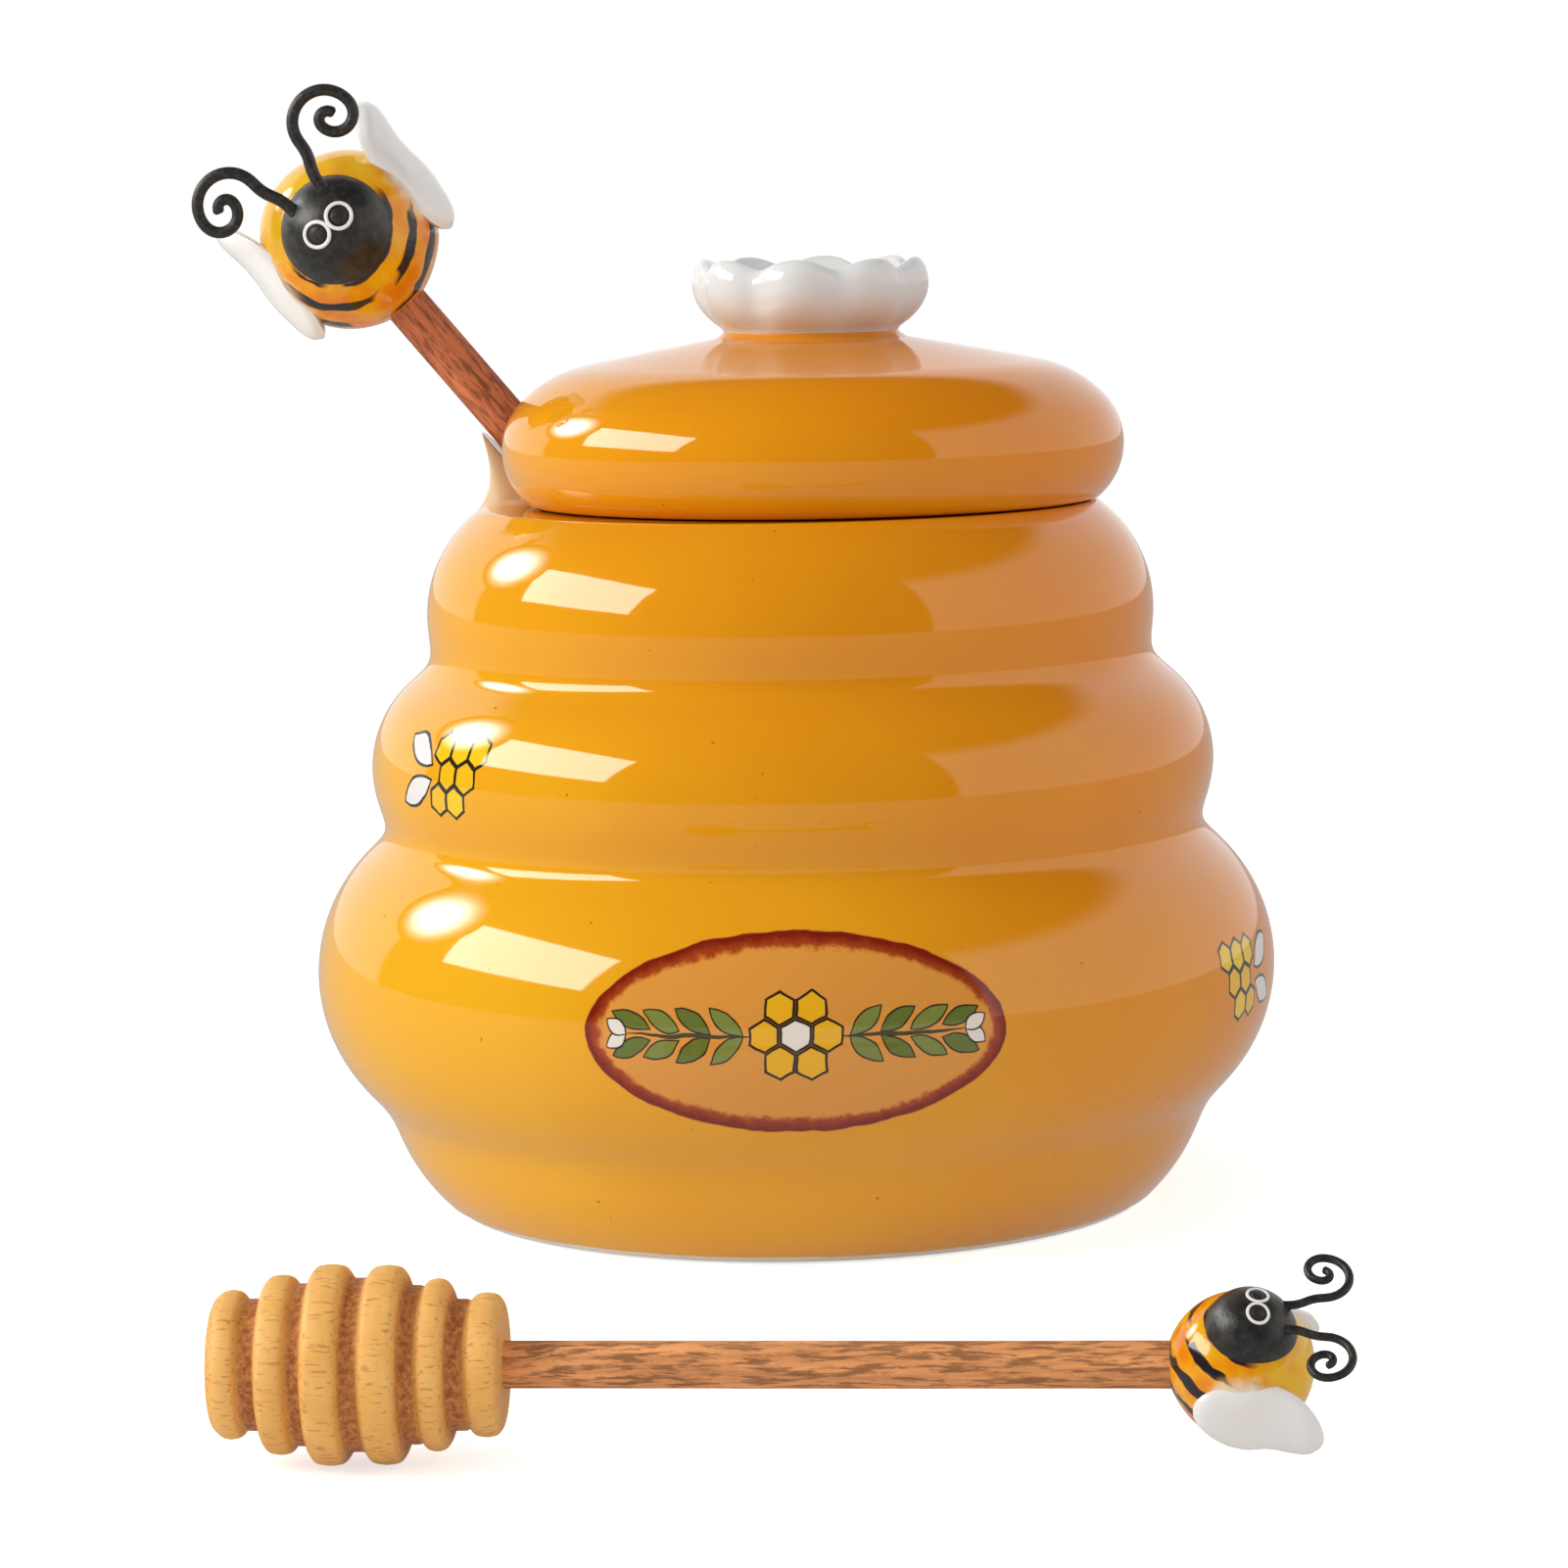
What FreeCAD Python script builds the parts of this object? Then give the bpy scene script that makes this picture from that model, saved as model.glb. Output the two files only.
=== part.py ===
import FreeCAD, Part
import math
import os

import Sketcher

# Honey pot shaped like a beehive, with a lift-off lid and two wooden dippers.
# Millimetres, +Z up, origin at the centre of the foot, -Y towards the viewer.

SIZES = {
    "Pot": {
        "foot_radius": 47.85,
        "heel_radius": 51.1,
        "heel_height": 3.24,
        "low_groove_radius": 56.1,
        "low_groove_height": 13.7,
        "belly_radius": 65.5,
        "belly_rise": 18.5,
        "mid_groove_radius": 54.6,
        "mid_groove_rise": 18.9,
        "waist_radius": 57.5,
        "waist_rise": 8.8,
        "high_groove_radius": 48.2,
        "high_groove_rise": 13.9,
        "shoulder_radius": 48.0,
        "shoulder_rise": 13.8,
        "rim_radius": 41.8,
        "rim_rise": 7.4,
        "groove_blend": 5.0,
        "rim_round": 1.2,
        "wall": 5.0,
        "floor_thick": 6.0,
        "mouth_radius": 34.0,
        "throat": 7.0,
        "lip_rise": 11.0,
        "lip_spread": 5.0,
        "lip_waist": 2.1,
        "lip_waist_rise": 3.3,
        "lip_edge": 0.9,
        "lip_flare": 9.0,
        "lip_half_width": 6.4,
        "lip_cradle": 1.8,
    },
    "Lid": {
        "bottom_radius": 38.5,
        "side_radius": 42.1,
        "side_rise": 6.6,
        "edge_radius": 38.6,
        "edge_rise": 14.8,
        "brow_radius": 35.9,
        "brow_rise": 16.8,
        "crown_radius": 30.8,
        "crown_rise": 18.7,
        "slope_radius": 22.0,
        "slope_rise": 20.4,
        "top_rise": 22.2,
        "wall": 5.0,
        "skirt_radius": 30.2,
        "skirt_depth": 6.0,
        "skirt_wall": 4.0,
        "touch_gap": 0.35,
        "seat_gap": 0.15,
        "side_room": 0.6,
        "notch_room": 2.1,
    },
    "Knob": {
        "neck_radius": 11.8,
        "petal_radius": 6.4,
        "petal_ring": 9.7,
        "petal_rise": 6.5,
        "rim_rise": 10.75,
        "bowl_mouth": 14.2,
        "bowl_floor": 3.4,
    },
    "Dipper": {
        "lean": 39.7,
        "back": 18.0,
        "rim_overlap": 0.9,
        "rest_gap": 0.3,
        "reach": 154.5,
        "stick_radius": 3.15,
        "stick_gap": 0.35,
        "glue_gap": 0.08,
        "socket_depth": 12.0,
        "head_radius": 13.0,
        "head_end_radius": 9.6,
        "head_length": 37.6,
        "groove_width": 2.1,
        "groove_depth": 1.9,
        "ring_round": 0.9,
        "bee_radius": 12.5,
        "bee_socket": 7.0,
        "face_radius": 7.9,
        "face_forward": 7.2,
        "face_rise": 1.4,
        "eye_spread": 1.95,
        "eye_rise": 1.3,
        "eye_radius": 1.85,
        "eye_line": 0.45,
        "eye_height": 0.35,
        "pupil_radius": 1.15,
        "wing_sweep": 40.0,
        "wing_tilt": 10.0,
        "wing_reach": 18.2,
        "wing_low": 8.6,
        "wing_length": 24.0,
        "wing_width": 12.6,
        "wing_thick": 3.6,
        "wing_round": 1.5,
        "feeler_radius": 1.0,
        "feeler_forward": 4.2,
        "feeler_root": 2.6,
        "feeler_root_rise": 6.3,
        "feeler_depth": 2.4,
        "curl_start": 4.2,
        "curl_rise": 12.2,
        "curl_radius": 4.4,
        "curl_mid_radius": 2.55,
        "curl_end_radius": 1.25,
    },
    "Spare": {
        "ahead": 79.5,
        "aside": 64.8,
        "turn": -4.3,
        "roll": 40.0,
        "reach": 112.2,
        "stick_radius": 2.66,
        "glue_gap": 0.06,
        "socket_depth": 9.0,
        "head_radius": 11.05,
        "head_end_radius": 8.2,
        "head_length": 32.0,
        "groove_width": 1.8,
        "groove_depth": 1.6,
        "ring_round": 0.8,
        "bee_radius": 8.15,
        "bee_socket": 4.2,
        "face_radius": 5.1,
        "face_forward": 4.7,
        "face_rise": 0.9,
        "eye_spread": 1.27,
        "eye_rise": 0.85,
        "eye_radius": 1.2,
        "eye_line": 0.3,
        "eye_height": 0.25,
        "pupil_radius": 0.75,
        "wing_sweep": 40.0,
        "wing_tilt": 10.0,
        "wing_reach": 11.0,
        "wing_low": 5.6,
        "wing_length": 15.6,
        "wing_width": 8.2,
        "wing_thick": 2.4,
        "wing_round": 1.0,
        "feeler_radius": 0.6,
        "feeler_forward": 2.7,
        "feeler_root": 1.7,
        "feeler_root_rise": 4.1,
        "feeler_depth": 1.6,
        "curl_start": 2.75,
        "curl_rise": 7.9,
        "curl_radius": 2.85,
        "curl_mid_radius": 1.65,
        "curl_end_radius": 0.8,
    },
}

# Places that follow from the sizes above.
PLACES = {
    "belly_height": "=Pot.low_groove_height + Pot.belly_rise",
    "mid_groove_height": "=belly_height + Pot.mid_groove_rise",
    "waist_height": "=mid_groove_height + Pot.waist_rise",
    "high_groove_height": "=waist_height + Pot.high_groove_rise",
    "shoulder_height": "=high_groove_height + Pot.shoulder_rise",
    "rim_height": "=shoulder_height + Pot.rim_rise",
    "lid_shift": "=Pot.mouth_radius - Lid.skirt_radius - Lid.touch_gap",
    "lid_base": "=rim_height + Lid.seat_gap",
    "knob_base": "=rim_height + Lid.seat_gap + Lid.top_rise",
    "tip_height": "=Pot.floor_thick + Dipper.rest_gap + Dipper.head_end_radius * sin(Dipper.lean)",
    "rim_cross": "=sqrt((Pot.mouth_radius + Dipper.rim_overlap)^2 - Dipper.back^2)",
    "tip_side": "=(rim_height - tip_height) * tan(Dipper.lean) - rim_cross",
    "rim_along": "=(rim_height - tip_height) / cos(Dipper.lean)",
    "lip_tube": "=Dipper.stick_radius + Dipper.stick_gap + Pot.lip_edge",
    "lip_top_along": "=rim_along + Pot.lip_rise / cos(Dipper.lean)",
    "lip_foot": "=lip_top_along - 1.5 * Pot.lip_flare",
    "bowl_depth": "=Knob.rim_rise - Knob.bowl_floor",
    "bowl_sphere": "=(Knob.bowl_mouth^2 / bowl_depth + bowl_depth) / 2",
}

RINGS = 6           # raised rings of a dipper's head
RING_SPREAD = 0.14  # how much wider the middle rings are than the end ones
PETALS = 8
SIDES = (("right", 1), ("left", -1))

doc = FreeCAD.newDocument("honey_pot")


def add_sheet(name, cells):
    sheet = doc.addObject("Spreadsheet::Sheet", name)
    for row, (alias, content) in enumerate(cells.items(), 1):
        sheet.set(f"A{row}", alias)
        sheet.set(f"B{row}", str(content))
        sheet.setAlias(f"B{row}", alias)
    doc.recompute()
    return sheet


def number(formula):
    return float(places.evalExpression(formula))


def bind(item, **formulas):
    for field, formula in formulas.items():
        item.setExpression(field, formula)
    return item


def spot(x="0", y="0", z="0", turn="0", axis="0; 0; 1"):
    return f"placement(vector({x}; {y}; {z}); rotation(vector({axis}); {turn}))"


def primitive(kind, name, place=None, **formulas):
    item = bind(doc.addObject(f"Part::{kind}", name), **formulas)
    if place:
        item.setExpression("Placement", place)
    return item


def cut(name, base, tool):
    item = doc.addObject("Part::Cut", name)
    item.Base = base
    item.Tool = tool
    return item


def joined(kind, name, shapes):
    item = doc.addObject(f"Part::{kind}", name)
    item.Shapes = shapes
    return item


def pin_point(sketch, geometry, end, x, y):
    for kind, axis, formula in (("DistanceX", -2, x), ("DistanceY", -1, y)):
        if formula == "0":
            sketch.addConstraint(Sketcher.Constraint("PointOnObject", geometry, end, axis))
        else:
            size = Sketcher.Constraint(kind, -1, 1, geometry, end, number(formula))
            sketch.setExpression(f"Constraints[{sketch.addConstraint(size)}]", formula)


def draw(body, name, plane, corners, closed=True):
    # A corner is (x, y), reached by a line, or (via_x, via_y, x, y), reached by an arc.
    sketch = body.newObject("Sketcher::SketchObject", name)
    sketch.AttachmentSupport = [f for f in body.Origin.OriginFeatures if f.Role == plane]
    sketch.MapMode = "FlatFace"
    ends = [corner[-2:] for corner in corners]
    steps = list(zip(ends, corners[1:]))
    if closed:
        steps.append((ends[-1], corners[0]))
    last = None
    first = None
    for start, corner in steps:
        points = [FreeCAD.Vector(number(x), number(y)) for x, y in (start, corner[:2], corner[-2:])]
        if len(corner) == 2:
            edge = sketch.addGeometry(Part.LineSegment(points[0], points[2]))
            tail, nose = 1, 2
        else:
            left_turn = (points[1] - points[0]).cross(points[2] - points[1]).z > 0
            run = points if left_turn else points[::-1]
            edge = sketch.addGeometry(Part.ArcOfCircle(*run))
            tail, nose = (1, 2) if left_turn else (2, 1)
            via = sketch.addGeometry(Part.Point(points[1]), True)
            pin_point(sketch, via, 1, *corner[:2])
            sketch.addConstraint(Sketcher.Constraint("PointOnObject", via, 1, edge))
        if last is None:
            pin_point(sketch, edge, tail, *start)
            first = (edge, tail)
        else:
            sketch.addConstraint(Sketcher.Constraint("Coincident", *last, edge, tail))
        if closed and corner is corners[0]:
            sketch.addConstraint(Sketcher.Constraint("Coincident", edge, nose, *first))
        else:
            pin_point(sketch, edge, nose, *corner[-2:])
        last = (edge, nose)
    doc.recompute()
    return sketch


def turned(name, corners, place=None):
    # Solid of revolution about the body's Z axis.
    body = doc.addObject("PartDesign::Body", name)
    profile = draw(body, f"{name}_profile", "XZ_Plane", corners)
    turn = body.newObject("PartDesign::Revolution", f"{name}_turn")
    turn.Profile = profile
    turn.ReferenceAxis = (profile, ["V_Axis"])
    turn.Angle = 360
    if place:
        body.setExpression("Placement", place)
    doc.recompute()
    return body


def round_edges(body, name, formula, wanted):
    # Fillet on those circular edges of the body's tip that wanted(radius) picks.
    base = body.Tip
    names = []
    for count, edge in enumerate(base.Shape.Edges, 1):
        circle = isinstance(edge.Curve, Part.Circle) and edge.isClosed()
        if circle and wanted(edge.Curve.Radius):
            names.append(f"Edge{count}")
    fillet = body.newObject("PartDesign::Fillet", name)
    fillet.Base = (base, names)
    fillet.setExpression("Radius", formula)
    doc.recompute()


def near(a, b):
    return abs(a - b) < 1e-4


def dipper_place(tag, x="0", y="0", z="0", turn="0"):
    # A spot in a dipper's own frame: origin at its tip, Z along its stick, face towards -Y.
    if tag == "Dipper":
        frame = spot("Place.tip_side", "Dipper.back", "Place.tip_height", "-Dipper.lean", "0; 1; 0")
    else:
        ahead = "-Pot.belly_radius - Spare.ahead"
        lift = spot("-Spare.aside", ahead, "Spare.head_radius", "Spare.turn")
        roll = spot(turn="-Spare.roll", axis="1; 0; 0")
        frame = f"{lift} * {roll} * {spot(turn='90', axis='0; 1; 0')}"
    return f"{frame} * {spot(x, y, z, turn)}"


def make_pot():
    pot = turned("pot_turned", [
        ("0", "0"),
        ("Pot.foot_radius", "0"),
        ("Pot.heel_radius", "Pot.heel_height", "Pot.low_groove_radius", "Pot.low_groove_height"),
        ("Pot.belly_radius", "Place.belly_height", "Pot.mid_groove_radius", "Place.mid_groove_height"),
        ("Pot.waist_radius", "Place.waist_height", "Pot.high_groove_radius", "Place.high_groove_height"),
        ("Pot.shoulder_radius", "Place.shoulder_height", "Pot.rim_radius", "Place.rim_height"),
        ("Pot.mouth_radius", "Place.rim_height"),
        ("Pot.mouth_radius", "Place.rim_height - Pot.throat"),
        ("Pot.shoulder_radius - Pot.wall", "Place.shoulder_height - Pot.wall",
         "Pot.high_groove_radius - Pot.wall", "Place.high_groove_height"),
        ("Pot.waist_radius - Pot.wall", "Place.waist_height",
         "Pot.mid_groove_radius - Pot.wall", "Place.mid_groove_height"),
        ("Pot.belly_radius - Pot.wall", "Place.belly_height",
         "Pot.low_groove_radius - Pot.wall", "Pot.low_groove_height"),
        ("Pot.foot_radius - Pot.wall", "Pot.floor_thick"),
        ("0", "Pot.floor_thick"),
    ])
    grooves = [number(f"Pot.{which}_groove_radius") for which in ("low", "mid", "high")]
    round_edges(pot, "groove_blends", "Pot.groove_blend",
                lambda radius: any(near(radius, groove) for groove in grooves))

    # The lip that carries the standing dipper's stick: a flared collar round the stick,
    # kept inside a slab and a band that leans out from the rim, and only under the stick.
    flare = "Place.lip_tube + Pot.lip_flare"
    slack = "Pot.lip_flare * (1 - sqrt(0.5))"
    collar = turned("lip_collar", [
        ("0", "Place.lip_foot - Pot.lip_flare"),
        (flare, "Place.lip_foot - Pot.lip_flare"),
        (flare, "Place.lip_foot"),
        (f"Place.lip_tube + {slack}", f"Place.lip_foot + {slack}",
         "Place.lip_tube", "Place.lip_foot + Pot.lip_flare"),
        ("Place.lip_tube", "Place.lip_foot + 3 * Pot.lip_flare"),
        ("0", "Place.lip_foot + 3 * Pot.lip_flare"),
    ], dipper_place("Dipper"))
    band = turned("lip_band", [
        ("Pot.mouth_radius - Pot.wall", "Place.rim_height - Pot.throat"),
        ("Pot.rim_radius + Pot.lip_waist + Pot.rim_round", "Place.rim_height - Pot.rim_round"),
        ("Pot.rim_radius + Pot.lip_waist", "Place.rim_height + Pot.lip_waist_rise",
         "Pot.rim_radius + Pot.lip_spread", "Place.rim_height + Pot.lip_rise"),
        ("Pot.mouth_radius - Pot.wall", "Place.rim_height + Pot.lip_rise"),
    ])
    reach = "2 * Pot.rim_radius"
    start = "Place.rim_along - Pot.rim_radius"
    slab = primitive("Box", "lip_slab",
                     dipper_place("Dipper", "-Pot.rim_radius", "-Pot.lip_half_width", start),
                     Length=reach, Width="2 * Pot.lip_half_width", Height=reach)
    corner = ("-Pot.lip_cradle", "-Pot.rim_radius", start)
    above = primitive("Box", "above_stick", dipper_place("Dipper", *corner),
                      Length=reach, Width=reach, Height=reach)
    lid_room = primitive("Cylinder", "lid_room",
                         spot("Place.lid_shift", "0", "Place.rim_height - Pot.wall"),
                         Radius="Lid.side_radius + Lid.side_room", Height=reach)
    bore = primitive("Cylinder", "stick_bore", dipper_place("Dipper"),
                     Radius="Dipper.stick_radius + Dipper.stick_gap", Height="Dipper.reach")
    banded = joined("MultiCommon", "lip_blank", [collar, band, slab])
    lip = cut("lip", banded, joined("MultiFuse", "lip_trims", [above, lid_room]))
    return cut("pot_body", joined("MultiFuse", "pot_walls", [pot, lip]), bore)


def make_lid():
    shell = turned("lid_turned", [
        ("0", "Lid.top_rise"),
        ("Knob.neck_radius", "Lid.top_rise"),
        ("Lid.slope_radius", "Lid.slope_rise", "Lid.crown_radius", "Lid.crown_rise"),
        ("Lid.brow_radius", "Lid.brow_rise", "Lid.edge_radius", "Lid.edge_rise"),
        ("Lid.side_radius", "Lid.side_rise", "Lid.bottom_radius", "0"),
        ("0", "0"),
    ], spot("Place.lid_shift", "0", "Place.lid_base"))
    skirt_end = spot("Place.lid_shift", "0", "Place.lid_base - Lid.skirt_depth")
    skirt = primitive("Cylinder", "lid_skirt", skirt_end,
                      Radius="Lid.skirt_radius", Height="Lid.skirt_depth + Lid.wall")
    hollow = turned("lid_hollow", [
        ("0", "0"),
        ("Lid.skirt_radius - Lid.skirt_wall", "0"),
        ("Lid.skirt_radius - Lid.skirt_wall", "Lid.skirt_depth + Lid.edge_rise - Lid.wall"),
        ("Lid.slope_radius", "Lid.skirt_depth + Lid.slope_rise - Lid.wall",
         "Knob.neck_radius", "Lid.skirt_depth + Lid.top_rise - Lid.wall"),
        ("0", "Lid.skirt_depth + Lid.top_rise - Lid.wall"),
    ], skirt_end)
    notch_radius = "Dipper.stick_radius + Lid.notch_room"
    notch = primitive("Cylinder", "notch_end", dipper_place("Dipper"),
                      Radius=notch_radius, Height="Dipper.reach")
    way_out = primitive("Box", "notch_way",
                        dipper_place("Dipper", "-Lid.side_radius", f"-({notch_radius})"),
                        Length="Lid.side_radius", Width=f"2 * ({notch_radius})", Height="Dipper.reach")
    solid = joined("MultiFuse", "lid_solid", [shell, skirt])
    return cut("lid_shell", solid, joined("MultiFuse", "lid_hollows", [hollow, notch, way_out]))


def make_knob():
    neck = primitive("Cylinder", "knob_neck", Radius="Knob.neck_radius", Height="Knob.petal_rise")
    petals = []
    for count in range(PETALS):
        angle = 360 / PETALS * count - 90
        petals.append(primitive("Sphere", f"petal_{count}", Radius="Knob.petal_radius", place=spot(
            f"Knob.petal_ring * cos({angle})", f"Knob.petal_ring * sin({angle})", "Knob.petal_rise")))
    bowl = primitive("Sphere", "knob_bowl", spot(z="Knob.bowl_floor + Place.bowl_sphere"),
                     Radius="Place.bowl_sphere")
    knob = cut("flower_knob", joined("MultiFuse", "knob_blank", [neck] + petals), bowl)
    knob.setExpression("Placement", spot("Place.lid_shift", "0", "Place.knob_base"))
    return knob


def make_head(tag, prefix):
    # Barrel with turned grooves, and a socket for the stick.
    body = turned(f"{prefix}head_turned", [
        ("0", "0"),
        (f"{tag}.head_end_radius", "0"),
        (f"{tag}.head_radius", f"{tag}.head_length / 2", f"{tag}.head_end_radius", f"{tag}.head_length"),
        ("0", f"{tag}.head_length"),
    ])
    for count in range(1, RINGS):
        share = count / RINGS
        along = share - RING_SPREAD * math.sin(2 * math.pi * share) / (2 * math.pi)
        height = f"{tag}.head_length * {along:.4f}"
        swell = (2 * along - 1) ** 2
        radius = (f"{tag}.head_radius - ({tag}.head_radius - {tag}.head_end_radius) * {swell:.4f}"
                  f" - {tag}.groove_depth")
        low = f"{height} - {tag}.groove_width / 2"
        high = f"{height} + {tag}.groove_width / 2"
        outer = f"{tag}.head_radius + {tag}.groove_depth"
        ring = draw(body, f"{prefix}groove_{count}", "XZ_Plane",
                    [(radius, low), (outer, low), (outer, high), (radius, high)])
        groove = body.newObject("PartDesign::Groove", f"{prefix}groove_cut_{count}")
        groove.Profile = ring
        groove.ReferenceAxis = (ring, ["V_Axis"])
        groove.Angle = 360
        doc.recompute()
    end_floor = number(f"{tag}.head_end_radius - {tag}.groove_depth / 2")
    floors = groove_floors(body)
    round_edges(body, f"{prefix}ring_rounding", f"{tag}.ring_round",
                lambda radius: radius > end_floor and not any(near(radius, floor) for floor in floors))
    socket = primitive("Cylinder", f"{prefix}head_socket",
                       spot(z=f"{tag}.head_length - {tag}.socket_depth"),
                       Radius=f"{tag}.stick_radius + {tag}.glue_gap", Height=f"{tag}.head_length")
    return cut(f"{prefix}dipper_head", body, socket)


def groove_floors(body):
    # Radii of the cylinders at the bottom of the grooves.
    return [face.Surface.Radius for face in body.Shape.Faces if isinstance(face.Surface, Part.Cylinder)]


def make_stick(tag, prefix):
    start = f"{tag}.head_length - {tag}.socket_depth"
    length = f"{tag}.reach - {tag}.bee_radius + {tag}.bee_socket - ({start})"
    return primitive("Cylinder", f"{prefix}dipper_stick", dipper_place(tag, z=start),
                     Radius=f"{tag}.stick_radius", Height=length)


def bee_ball(name, tag, margin="0"):
    return primitive("Sphere", name, spot(z=f"{tag}.reach"), Radius=f"{tag}.bee_radius + {margin}")


def face_spot(tag, x="0", y="0", z="0", turn="0", axis="0; 0; 1"):
    # A spot measured from the centre of the bee's head.
    return spot(x, f"{y} - {tag}.face_forward", f"{tag}.reach + {tag}.face_rise + {z}", turn, axis)


def make_bee_body(tag, prefix):
    ball = bee_ball(f"{prefix}bee_ball", tag)
    stick = primitive("Cylinder", f"{prefix}stick_socket", spot(z=f"{tag}.head_length"),
                      Radius=f"{tag}.stick_radius + {tag}.glue_gap",
                      Height=f"{tag}.reach - {tag}.bee_radius + {tag}.bee_socket - {tag}.head_length")
    face = primitive("Sphere", f"{prefix}face_socket", face_spot(tag),
                     Radius=f"{tag}.face_radius + {tag}.glue_gap")
    return cut(f"{prefix}bee_body", ball, joined("MultiFuse", f"{prefix}bee_sockets", [stick, face]))


def make_bee_head(tag, prefix):
    ball = primitive("Sphere", f"{prefix}face_ball", face_spot(tag), Radius=f"{tag}.face_radius")
    roots = []
    for side, sign in SIDES:
        roots.append(primitive("Cylinder", f"{prefix}feeler_socket_{side}", face_spot(
            tag, f"{sign} * {tag}.feeler_root", f"-{tag}.feeler_forward",
            f"{tag}.feeler_root_rise - {tag}.feeler_depth"),
            Radius=f"{tag}.feeler_radius + {tag}.glue_gap", Height=f"{tag}.face_radius"))
    return cut(f"{prefix}bee_head", ball, joined("MultiFuse", f"{prefix}feeler_sockets", roots))


def make_wing(tag, prefix, side, sign):
    # Thick soft-edged paddle, swept back from the bee's side and cut to seat on its body.
    body = doc.addObject("PartDesign::Body", f"{prefix}wing_{side}_plate")
    round_end = f"{tag}.wing_width / 2"
    profile = draw(body, f"{prefix}wing_{side}_outline", "XZ_Plane", [
        ("0", round_end),
        (round_end, "0", f"{tag}.wing_width", round_end),
        (f"{tag}.wing_width", f"{tag}.wing_length - {round_end}"),
        (round_end, f"{tag}.wing_length", "0", f"{tag}.wing_length - {round_end}"),
    ])
    pad = body.newObject("PartDesign::Pad", f"{prefix}wing_{side}_pad")
    pad.Profile = profile
    pad.SideType = "Symmetric"
    pad.setExpression("Length", f"{tag}.wing_thick")
    doc.recompute()
    fillet = body.newObject("PartDesign::Fillet", f"{prefix}wing_{side}_edges")
    flats = [near(abs(face.normalAt(0, 0).y), 1) for face in pad.Shape.Faces]
    fillet.Base = (pad, [f"Face{count}" for count, flat in enumerate(flats, 1) if flat])
    fillet.setExpression("Radius", f"{tag}.wing_round")
    turn = f"{tag}.wing_sweep" if sign > 0 else f"180 - {tag}.wing_sweep"
    overhang = f"{round_end} * (1 + cos({tag}.wing_tilt))"
    overhang += f" + ({tag}.wing_length - {round_end}) * sin({tag}.wing_tilt)"
    hang = spot(f"{tag}.wing_reach - ({overhang})", "0", f"-{tag}.wing_low", f"{tag}.wing_tilt", "0; 1; 0")
    body.setExpression("Placement", f"{spot(z=f'{tag}.reach', turn=turn)} * {hang}")
    doc.recompute()
    seat = bee_ball(f"{prefix}wing_{side}_seat", tag, f"{tag}.glue_gap")
    return cut(f"{prefix}bee_wing_{side}", body, seat)


def make_feeler(tag, prefix, side, sign):
    # Black wire that rises from the head in a slow bend and ends in a curl of three half turns.
    body = doc.addObject("PartDesign::Body", f"{prefix}antenna_{side}")
    root = f"{tag}.feeler_root"
    rise = f"{tag}.feeler_root_rise"
    half_out = f"({tag}.curl_start - {root}) / 2"
    half_up = f"({tag}.curl_rise - {rise}) / 2"
    bend = f"(({half_out})^2 + ({half_up})^2) / (2 * ({half_out}))"
    slant = f"atan(({half_out}) / ({half_up}))"
    near_out = f"({bend}) * (1 - cos({slant}))"
    near_up = f"({bend}) * sin({slant})"
    route = [
        (root, f"{rise} - {tag}.feeler_depth"),
        (root, rise),
        (f"{root} + {near_out}", f"{rise} + {near_up}", f"{root} + {half_out}", f"{rise} + {half_up}"),
        (f"{tag}.curl_start - {near_out}", f"{tag}.curl_rise - {near_up}",
         f"{tag}.curl_start", f"{tag}.curl_rise"),
    ]
    here = f"{tag}.curl_start"
    for radius, way in (("curl_radius", "+"), ("curl_mid_radius", "-"), ("curl_end_radius", "+")):
        there = f"{here} {way} 2 * {tag}.{radius}"
        route.append((f"{here} {way} {tag}.{radius}", f"{tag}.curl_rise {way} {tag}.{radius}",
                      there, f"{tag}.curl_rise"))
        here = there
    spine = draw(body, f"{prefix}antenna_{side}_route", "XZ_Plane", route, closed=False)
    section = body.newObject("Sketcher::SketchObject", f"{prefix}antenna_{side}_section")
    section.AttachmentSupport = [f for f in body.Origin.OriginFeatures if f.Role == "XY_Plane"]
    section.MapMode = "FlatFace"
    section.setExpression("AttachmentOffset.Base.z", f"{rise} - {tag}.feeler_depth")
    wire = section.addGeometry(Part.Circle(FreeCAD.Vector(number(root), 0, 0), FreeCAD.Vector(0, 0, 1), 1))
    section.addConstraint(Sketcher.Constraint("PointOnObject", wire, 3, -1))
    limits = (("DistanceX", (-1, 1, wire, 3), root), ("Radius", (wire,), f"{tag}.feeler_radius"))
    for kind, ends, formula in limits:
        index = section.addConstraint(Sketcher.Constraint(kind, *ends, number(formula)))
        section.setExpression(f"Constraints[{index}]", formula)
    doc.recompute()
    pipe = body.newObject("PartDesign::AdditivePipe", f"{prefix}antenna_{side}_pipe")
    pipe.Profile = section
    pipe.Spine = (spine, [f"Edge{n}" for n in range(1, len(route))])
    body.setExpression("Placement", dipper_place(
        tag, y=f"-{tag}.face_forward - {tag}.feeler_forward", z=f"{tag}.reach + {tag}.face_rise",
        turn="0" if sign > 0 else "180"))
    doc.recompute()
    return body


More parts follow.
